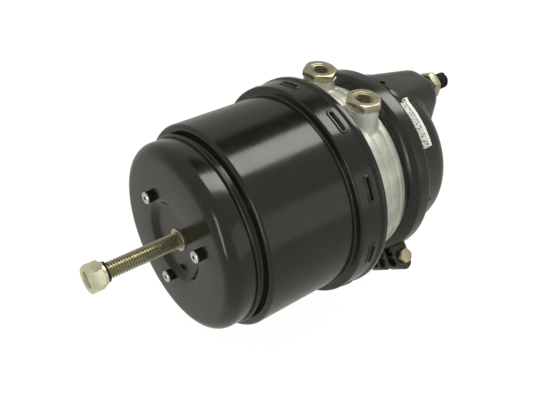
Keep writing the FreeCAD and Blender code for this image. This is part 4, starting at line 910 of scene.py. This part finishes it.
# Service housing with its pad, lip and label
class BRAKE_OT_service_housing(bpy.types.Operator):
    """Pressed bowl that blends into its mounting pad, with lip, holes and label"""
    bl_idname = "brake.service_housing"
    bl_label = "Service housing"

    def execute(self, context):
        bowl = turned_piece("service_bowl", [
            (-88, 0), (-88, BOWL_R), (BOWL_EDGE_X, BOWL_R), (-29, 77.2, 20), (-29, 0),
        ], steps=160)
        nose = turned_piece("service_nose", [(-60, 0), (-60, 44.8), (0, 36.4, 2.5), (0, 0)], steps=128)
        join(bowl, self.pad(), nose)
        melt(bowl, voxel=1.5, rounds=22)
        edit(bowl)
        bpy.ops.mesh.select_all(action="SELECT")
        bpy.ops.mesh.bisect(plane_co=(BOWL_TRIM_X * MM, 0, 0), plane_no=(1, 0, 0), clear_inner=True)
        leave_edit()
        modify(bowl, "SOLIDIFY", thickness=3.3 * MM, offset=-1)
        lip = turned_piece("service_lip", [
            (-80.5, 78.7), (-80.5, 87), (-76.5, 87, 0.6), (-72, 80.2, 0.6), (-68.2, 80.2, 1.2),
            (-66.2, 81.7, 1.2), (-64.6, 81.4), (-64.6, 78.6), (-68.2, 76.9), (-77.2, 76.9),
        ])
        carve(bowl, self.holes())
        carve(lip, self.drains())
        join(bowl, lip)
        dress(bowl, "black_paint", "housing", "service_housing", smooth_angle=35)
        self.label(bowl)
        return {"FINISHED"}

    def pad(self):
        """The raised pad: a rounded rectangle drawn in towards the mounting face."""
        deselect_all()
        bpy.ops.mesh.primitive_plane_add(
            size=1, location=(PAD_ROOT_X * MM, 0, 0), rotation=(0, math.pi / 2, 0)
        )
        piece = bpy.context.object
        piece.name = "service_pad"
        piece.scale = (PAD_ROOT_Z * 2 * MM, PAD_ROOT_Y * 2 * MM, 1)
        settle(piece)
        edit(piece)
        bpy.ops.mesh.select_all(action="SELECT")
        bpy.ops.mesh.bevel(offset=PAD_CORNER * MM, offset_type="OFFSET", segments=14, affect="VERTICES")
        bpy.ops.mesh.select_all(action="SELECT")
        bpy.ops.mesh.extrude_region_move(TRANSFORM_OT_translate={"value": (-PAD_ROOT_X * MM, 0, 0)})
        bpy.ops.transform.resize(
            value=(1, PAD_FRONT_Y / PAD_ROOT_Y, PAD_FRONT_Z / PAD_ROOT_Z), center_override=(0, 0, 0)
        )
        bpy.ops.mesh.select_mode(type="FACE")
        bpy.ops.mesh.bevel(offset=PAD_EDGE * MM, offset_type="OFFSET", segments=8, affect="EDGES")
        close_shell()
        leave_edit()
        return piece

    def drains(self):
        """Cutters for the drain holes, one pair above and below, one pair at the sides."""
        upright = bar("drain_upright", (UPPER_DRAIN_X, 0, -95), (0, 0, 1), 2.75, 190, 32)
        across = bar("drain_across", (SIDE_DRAIN_X, -95, 0), (0, 1, 0), 2.75, 190, 32)
        return join(upright, across)

    def holes(self):
        """Cutters for the rod's opening, the studs and the drains."""
        nose = bar("nose_hole", (-8, 0, 0), X_AXIS, 20, 12, 96)
        studs = [bar("stud_hole", (-12, 0, z), X_AXIS, 8.25, 16, 48) for z in (-STUD_Z, STUD_Z)]
        return join(nose, *studs, self.drains())

    def label(self, bowl):
        """A printed strip that lies on the bowl beside the pad."""
        rows = 10
        corners = []
        for i in range(rows + 1):
            x = LABEL_LOW_X + (LABEL_HIGH_X - LABEL_LOW_X) * i / rows
            corners.append((x, BOWL_R - (x - BOWL_EDGE_X) * BOWL_TAPER + LABEL_LIFT))
        strip = drawn_outline("service_label", corners, closed=False)
        bpy.ops.mesh.select_all(action="SELECT")
        bpy.ops.mesh.spin(steps=60, angle=LABEL_ARC, center=(0, 0, 0), axis=(1, 0, 0))
        close_shell()
        leave_edit()
        placed(strip, (LABEL_TURN, 0, 0))
        modify(
            strip, "SHRINKWRAP", target=bowl, wrap_method="NEAREST_SURFACEPOINT",
            wrap_mode="OUTSIDE_SURFACE", offset=LABEL_FILM * MM,
        )
        modify(strip, "SOLIDIFY", thickness=LABEL_FILM * MM, offset=0)
        dress(strip, "guide_plastic", "housing", finish="label_film")


# Mounting studs with their nuts
class BRAKE_OT_mounting_studs(bpy.types.Operator):
    """Two threaded studs, each with the nut that it is delivered with"""
    bl_idname = "brake.mounting_studs"
    bl_label = "Mounting studs"

    def execute(self, context):
        low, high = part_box("mounting_studs")
        end = high.x / MM
        stud = turned_piece("stud_pattern", [
            (low.x / MM, 0), (low.x / MM, 10, 1), (-6.1, 10), (-4.5, 8.2), (0, 8.2), (0, 8), (2.8, 8),
            (2.8, 6.9), (end - 1.2, 6.9), (end, 5.8), (end, 0),
        ], steps=64)
        join(stud, thread_ridge("stud_thread", 2.4, end - 2.4, 7.85, 0.95, METRIC_FINE_PITCH))
        nut = placed(hexagon_bar("stud_nut_pattern", 24, 3, 10, 7.95), (math.pi / 2, 0, 0))
        for pattern, slot, node in (
            (stud, "black_stud", "mounting_studs"), (nut, "yellow_zinc", "mounting_nuts"),
        ):
            upper = moved_copy(pattern, f"{node}_upper", (0, 0, STUD_Z))
            lower = moved_copy(pattern, f"{node}_lower", (0, 0, -STUD_Z))
            bpy.data.objects.remove(pattern)
            dress(join(upper, lower), slot, "housing", node, smooth_angle=25)
        return {"FINISHED"}


# Clamp band with its bolt
class BRAKE_OT_clamp_band(bpy.types.Operator):
    """Rolled clamp band with two ears, their bolt and nut"""
    bl_idname = "brake.clamp_band"
    bl_label = "Clamp band"

    def execute(self, context):
        band = turned_piece("clamp_ring", [
            (CLAMP_X - 14, 82.9, 0.8), (CLAMP_X - 10.5, 88.19, 2), (CLAMP_X - 6.5, 92, 3),
            (CLAMP_X + 6.5, 92, 3), (CLAMP_X + 10.5, 88.19, 2), (CLAMP_X + 14, 82.9, 0.8),
            (CLAMP_X + 11.5, 81.24), (CLAMP_X + 7.16, 87.8), (CLAMP_X + 5.16, 89),
            (CLAMP_X - 5.16, 89), (CLAMP_X - 7.16, 87.8), (CLAMP_X - 11.5, 81.24),
        ])
        carve(band, block_piece("split", (CLAMP_X - 18, -5, 76), (CLAMP_X + 18, 5, 96)))
        near = self.ear("near_ear", 5, 23)
        far = self.ear("far_ear", -23, -5)
        join(band, near, far)
        placed(band, (CLAMP_TURN, 0, 0))
        dress(band, "black_paint", "housing", "clamp_band", smooth_angle=35)
        self.bolt()
        return {"FINISHED"}

    def ear(self, name, low_y, high_y):
        """A rounded block round the bolt, with a throat cut through it along the axis."""
        ear = block_piece(name, (CLAMP_X - 8, low_y, 88), (CLAMP_X + 8, high_y, 106.5))
        carve(ear, bar("ear_end", (CLAMP_X, low_y, 106.5), (0, 1, 0), 8, high_y - low_y, 64), "UNION")
        middle = (low_y + high_y) / 2
        throat = block_piece("throat", (CLAMP_X - 12, middle - 5, 84), (CLAMP_X + 12, middle + 5, 104))
        carve(throat, bar("throat_top", (CLAMP_X - 12, middle, 104), X_AXIS, 5, 24, 32), "UNION")
        carve(ear, throat)
        hole_foot = (CLAMP_X, low_y - 2, CLAMP_BOLT_R)
        carve(ear, bar("bolt_hole", hole_foot, (0, 1, 0), 4.2, high_y - low_y + 4, 32))
        return soften(ear, 1.6, 4)

    def bolt(self):
        head = hexagon_bar("clamp_head", 13, 23, 5.3, 0, ends=("high",))
        shank = turned_piece("clamp_shank", [
            (-35.5, 0), (-35.5, 3, 0.2), (-34.6, 3.4), (-14, 3.4), (-13, 3.97), (23.4, 3.97), (23.4, 0),
        ], steps=48)
        join(head, shank, thread_ridge("clamp_thread", -35, 21, 3.97, 0.62, CLAMP_PITCH))
        nut = hexagon_bar("clamp_hexagon", 13, -29.5, 6.5, 4.02, ends=("low",))
        for piece, node in ((head, "clamp_bolt"), (nut, "clamp_nut")):
            placed(piece, (0, 0, math.pi / 2), (CLAMP_X, 0, CLAMP_BOLT_R))
            placed(piece, (CLAMP_TURN, 0, 0))
            dress(piece, "yellow_zinc", "housing", node, smooth_angle=25)


# Every CAD node gets its finish, also one that a piece replaces
class BRAKE_OT_carried_nodes(bpy.types.Operator):
    """Finishes for the nodes that come straight from the frame"""
    bl_idname = "brake.carried_nodes"
    bl_label = "Carried nodes"

    def execute(self, context):
        for entry in frame["record"]["subparts"]:
            node = frame["nodes"][entry["node"]]
            material = finish_for(entry["material_slot"])
            if not node.material_slots:
                node.data.materials.append(material)
            for slot in node.material_slots:
                slot.material = material
        return {"FINISHED"}


# Floor, lamps and camera
class BRAKE_OT_studio(bpy.types.Operator):
    """White floor, soft lamps and the camera at the photographed angle"""
    bl_idname = "brake.studio"
    bl_label = "Studio"

    def execute(self, context):
        self.floor()
        self.world()
        self.lamps()
        self.camera()
        context.scene.view_settings.view_transform = "Standard"
        return {"FINISHED"}

    def floor(self):
        """A pale floor that keeps its shadow and goes white for the camera."""
        deselect_all()
        bpy.ops.mesh.primitive_circle_add(
            vertices=96, radius=FLOOR_R, fill_type="NGON", location=(0, 0, FLOOR_Z)
        )
        floor = bpy.context.object
        floor.name = "studio_floor"
        settle(floor)
        material = bpy.data.materials.new("white_sweep")
        material.use_nodes = True
        nodes = material.node_tree.nodes
        links = material.node_tree.links
        shader = nodes["Principled BSDF"]
        shader.inputs["Base Color"].default_value = (0.9, 0.9, 0.9, 1)
        shader.inputs["Roughness"].default_value = 0.9
        shader.inputs["Specular IOR Level"].default_value = 0.1
        glow = nodes.new("ShaderNodeEmission")
        glow.inputs["Color"].default_value = (1, 1, 1, 1)
        glow.inputs["Strength"].default_value = FLOOR_GLOW
        path = nodes.new("ShaderNodeLightPath")
        mirrored = nodes.new("ShaderNodeEmission")
        mirrored.inputs["Color"].default_value = LIGHT_TINT
        mirrored.inputs["Strength"].default_value = FLOOR_MIRRORED
        base = nodes.new("ShaderNodeMixShader")
        links.new(path.outputs["Is Glossy Ray"], base.inputs["Fac"])
        links.new(shader.outputs["BSDF"], base.inputs[1])
        links.new(mirrored.outputs["Emission"], base.inputs[2])
        share = nodes.new("ShaderNodeMath")
        share.operation = "MULTIPLY"
        share.inputs[1].default_value = FLOOR_CAMERA_SHARE
        links.new(path.outputs["Is Camera Ray"], share.inputs[0])
        mix = nodes.new("ShaderNodeMixShader")
        links.new(share.outputs[0], mix.inputs["Fac"])
        links.new(base.outputs["Shader"], mix.inputs[1])
        links.new(glow.outputs["Emission"], mix.inputs[2])
        links.new(mix.outputs["Shader"], nodes["Material Output"].inputs["Surface"])
        floor.data.materials.append(material)

    def world(self):
        """Even room light with a dark flag where the paint would mirror it."""
        world = bpy.data.worlds.new("studio_world")
        bpy.context.scene.world = world
        world.use_nodes = True
        nodes = world.node_tree.nodes
        links = world.node_tree.links
        background = nodes["Background"]
        background.inputs["Color"].default_value = LIGHT_TINT
        place = nodes.new("ShaderNodeTexCoord")
        towards = nodes.new("ShaderNodeVectorMath")
        towards.operation = "DOT_PRODUCT"
        towards.inputs[1].default_value = Vector(FLAG_WAY).normalized()
        links.new(place.outputs["Generated"], towards.inputs[0])
        flag = nodes.new("ShaderNodeMapRange")
        flag.inputs["From Min"].default_value = 0.95
        flag.inputs["From Max"].default_value = 0.98
        flag.inputs["To Min"].default_value = ROOM_LIGHT
        flag.inputs["To Max"].default_value = FLAG_LIGHT
        links.new(towards.outputs["Value"], flag.inputs["Value"])
        links.new(flag.outputs["Result"], background.inputs["Strength"])

    def lamp(self, name, place, aim, width, height, power):
        deselect_all()
        way = Vector(aim) - Vector(place)
        bpy.ops.object.light_add(
            type="AREA", location=place, rotation=way.to_track_quat("-Z", "Y").to_euler()
        )
        lamp = bpy.context.object
        lamp.name = name
        lamp.data.shape = "RECTANGLE"
        lamp.data.size = width
        lamp.data.size_y = height
        lamp.data.energy = power
        lamp.data.color = LIGHT_TINT[:3]

    def lamps(self):
        for softbox in SOFTBOXES:
            self.lamp(*softbox)

    def camera(self):
        deselect_all()
        bpy.ops.object.camera_add()
        camera = bpy.context.object
        camera.name = "studio_camera"
        right = Vector(CAMERA_RIGHT).normalized()
        forward = Vector(CAMERA_FORWARD).normalized()
        up = right.cross(forward).normalized()
        turn = Matrix((right, up, -forward)).transposed()
        camera.matrix_world = Matrix.Translation(CAMERA_PLACE) @ turn.to_4x4()
        camera.data.sensor_width = CAMERA_SENSOR
        camera.data.lens = CAMERA_LENS
        camera.data.clip_start = 0.01
        camera.data.dof.use_dof = False
        bpy.context.scene.camera = camera


# Sidebar panel
class BRAKE_PT_chamber(bpy.types.Panel):
    """Builds the brake chamber's pieces one by one"""
    bl_idname = "BRAKE_PT_chamber"
    bl_label = "Brake chamber"
    bl_space_type = "VIEW_3D"
    bl_region_type = "UI"
    bl_category = "Brake chamber"

    def draw(self, context):
        layout = self.layout
        for group in (context.scene.chamber_sizes, context.scene.chamber_colours):
            for name in group.bl_rna.properties.keys():
                if name not in ("rna_type", "name"):
                    layout.prop(group, name)
        for operator in OPERATORS:
            layout.operator(operator.bl_idname)


OPERATORS = (
    BRAKE_OT_carried_nodes,
    BRAKE_OT_spring_housing,
    BRAKE_OT_end_cap,
    BRAKE_OT_release_bolt,
    BRAKE_OT_flange_housing,
    BRAKE_OT_port_fittings,
    BRAKE_OT_service_housing,
    BRAKE_OT_mounting_studs,
    BRAKE_OT_clamp_band,
    BRAKE_OT_studio,
)
CLASSES = (ChamberSizes, ChamberColours, *OPERATORS, BRAKE_PT_chamber)


def register():
    for item in CLASSES:
        bpy.utils.register_class(item)
    bpy.types.Scene.chamber_sizes = PointerProperty(type=ChamberSizes)
    bpy.types.Scene.chamber_colours = PointerProperty(type=ChamberColours)


def unregister():
    del bpy.types.Scene.chamber_colours
    del bpy.types.Scene.chamber_sizes
    for item in reversed(CLASSES):
        bpy.utils.unregister_class(item)


def main():
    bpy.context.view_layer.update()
    register()
    for operator in OPERATORS:
        group, name = operator.bl_idname.split(".")
        getattr(getattr(bpy.ops, group), name)()


if __name__ == "__main__":
    main()
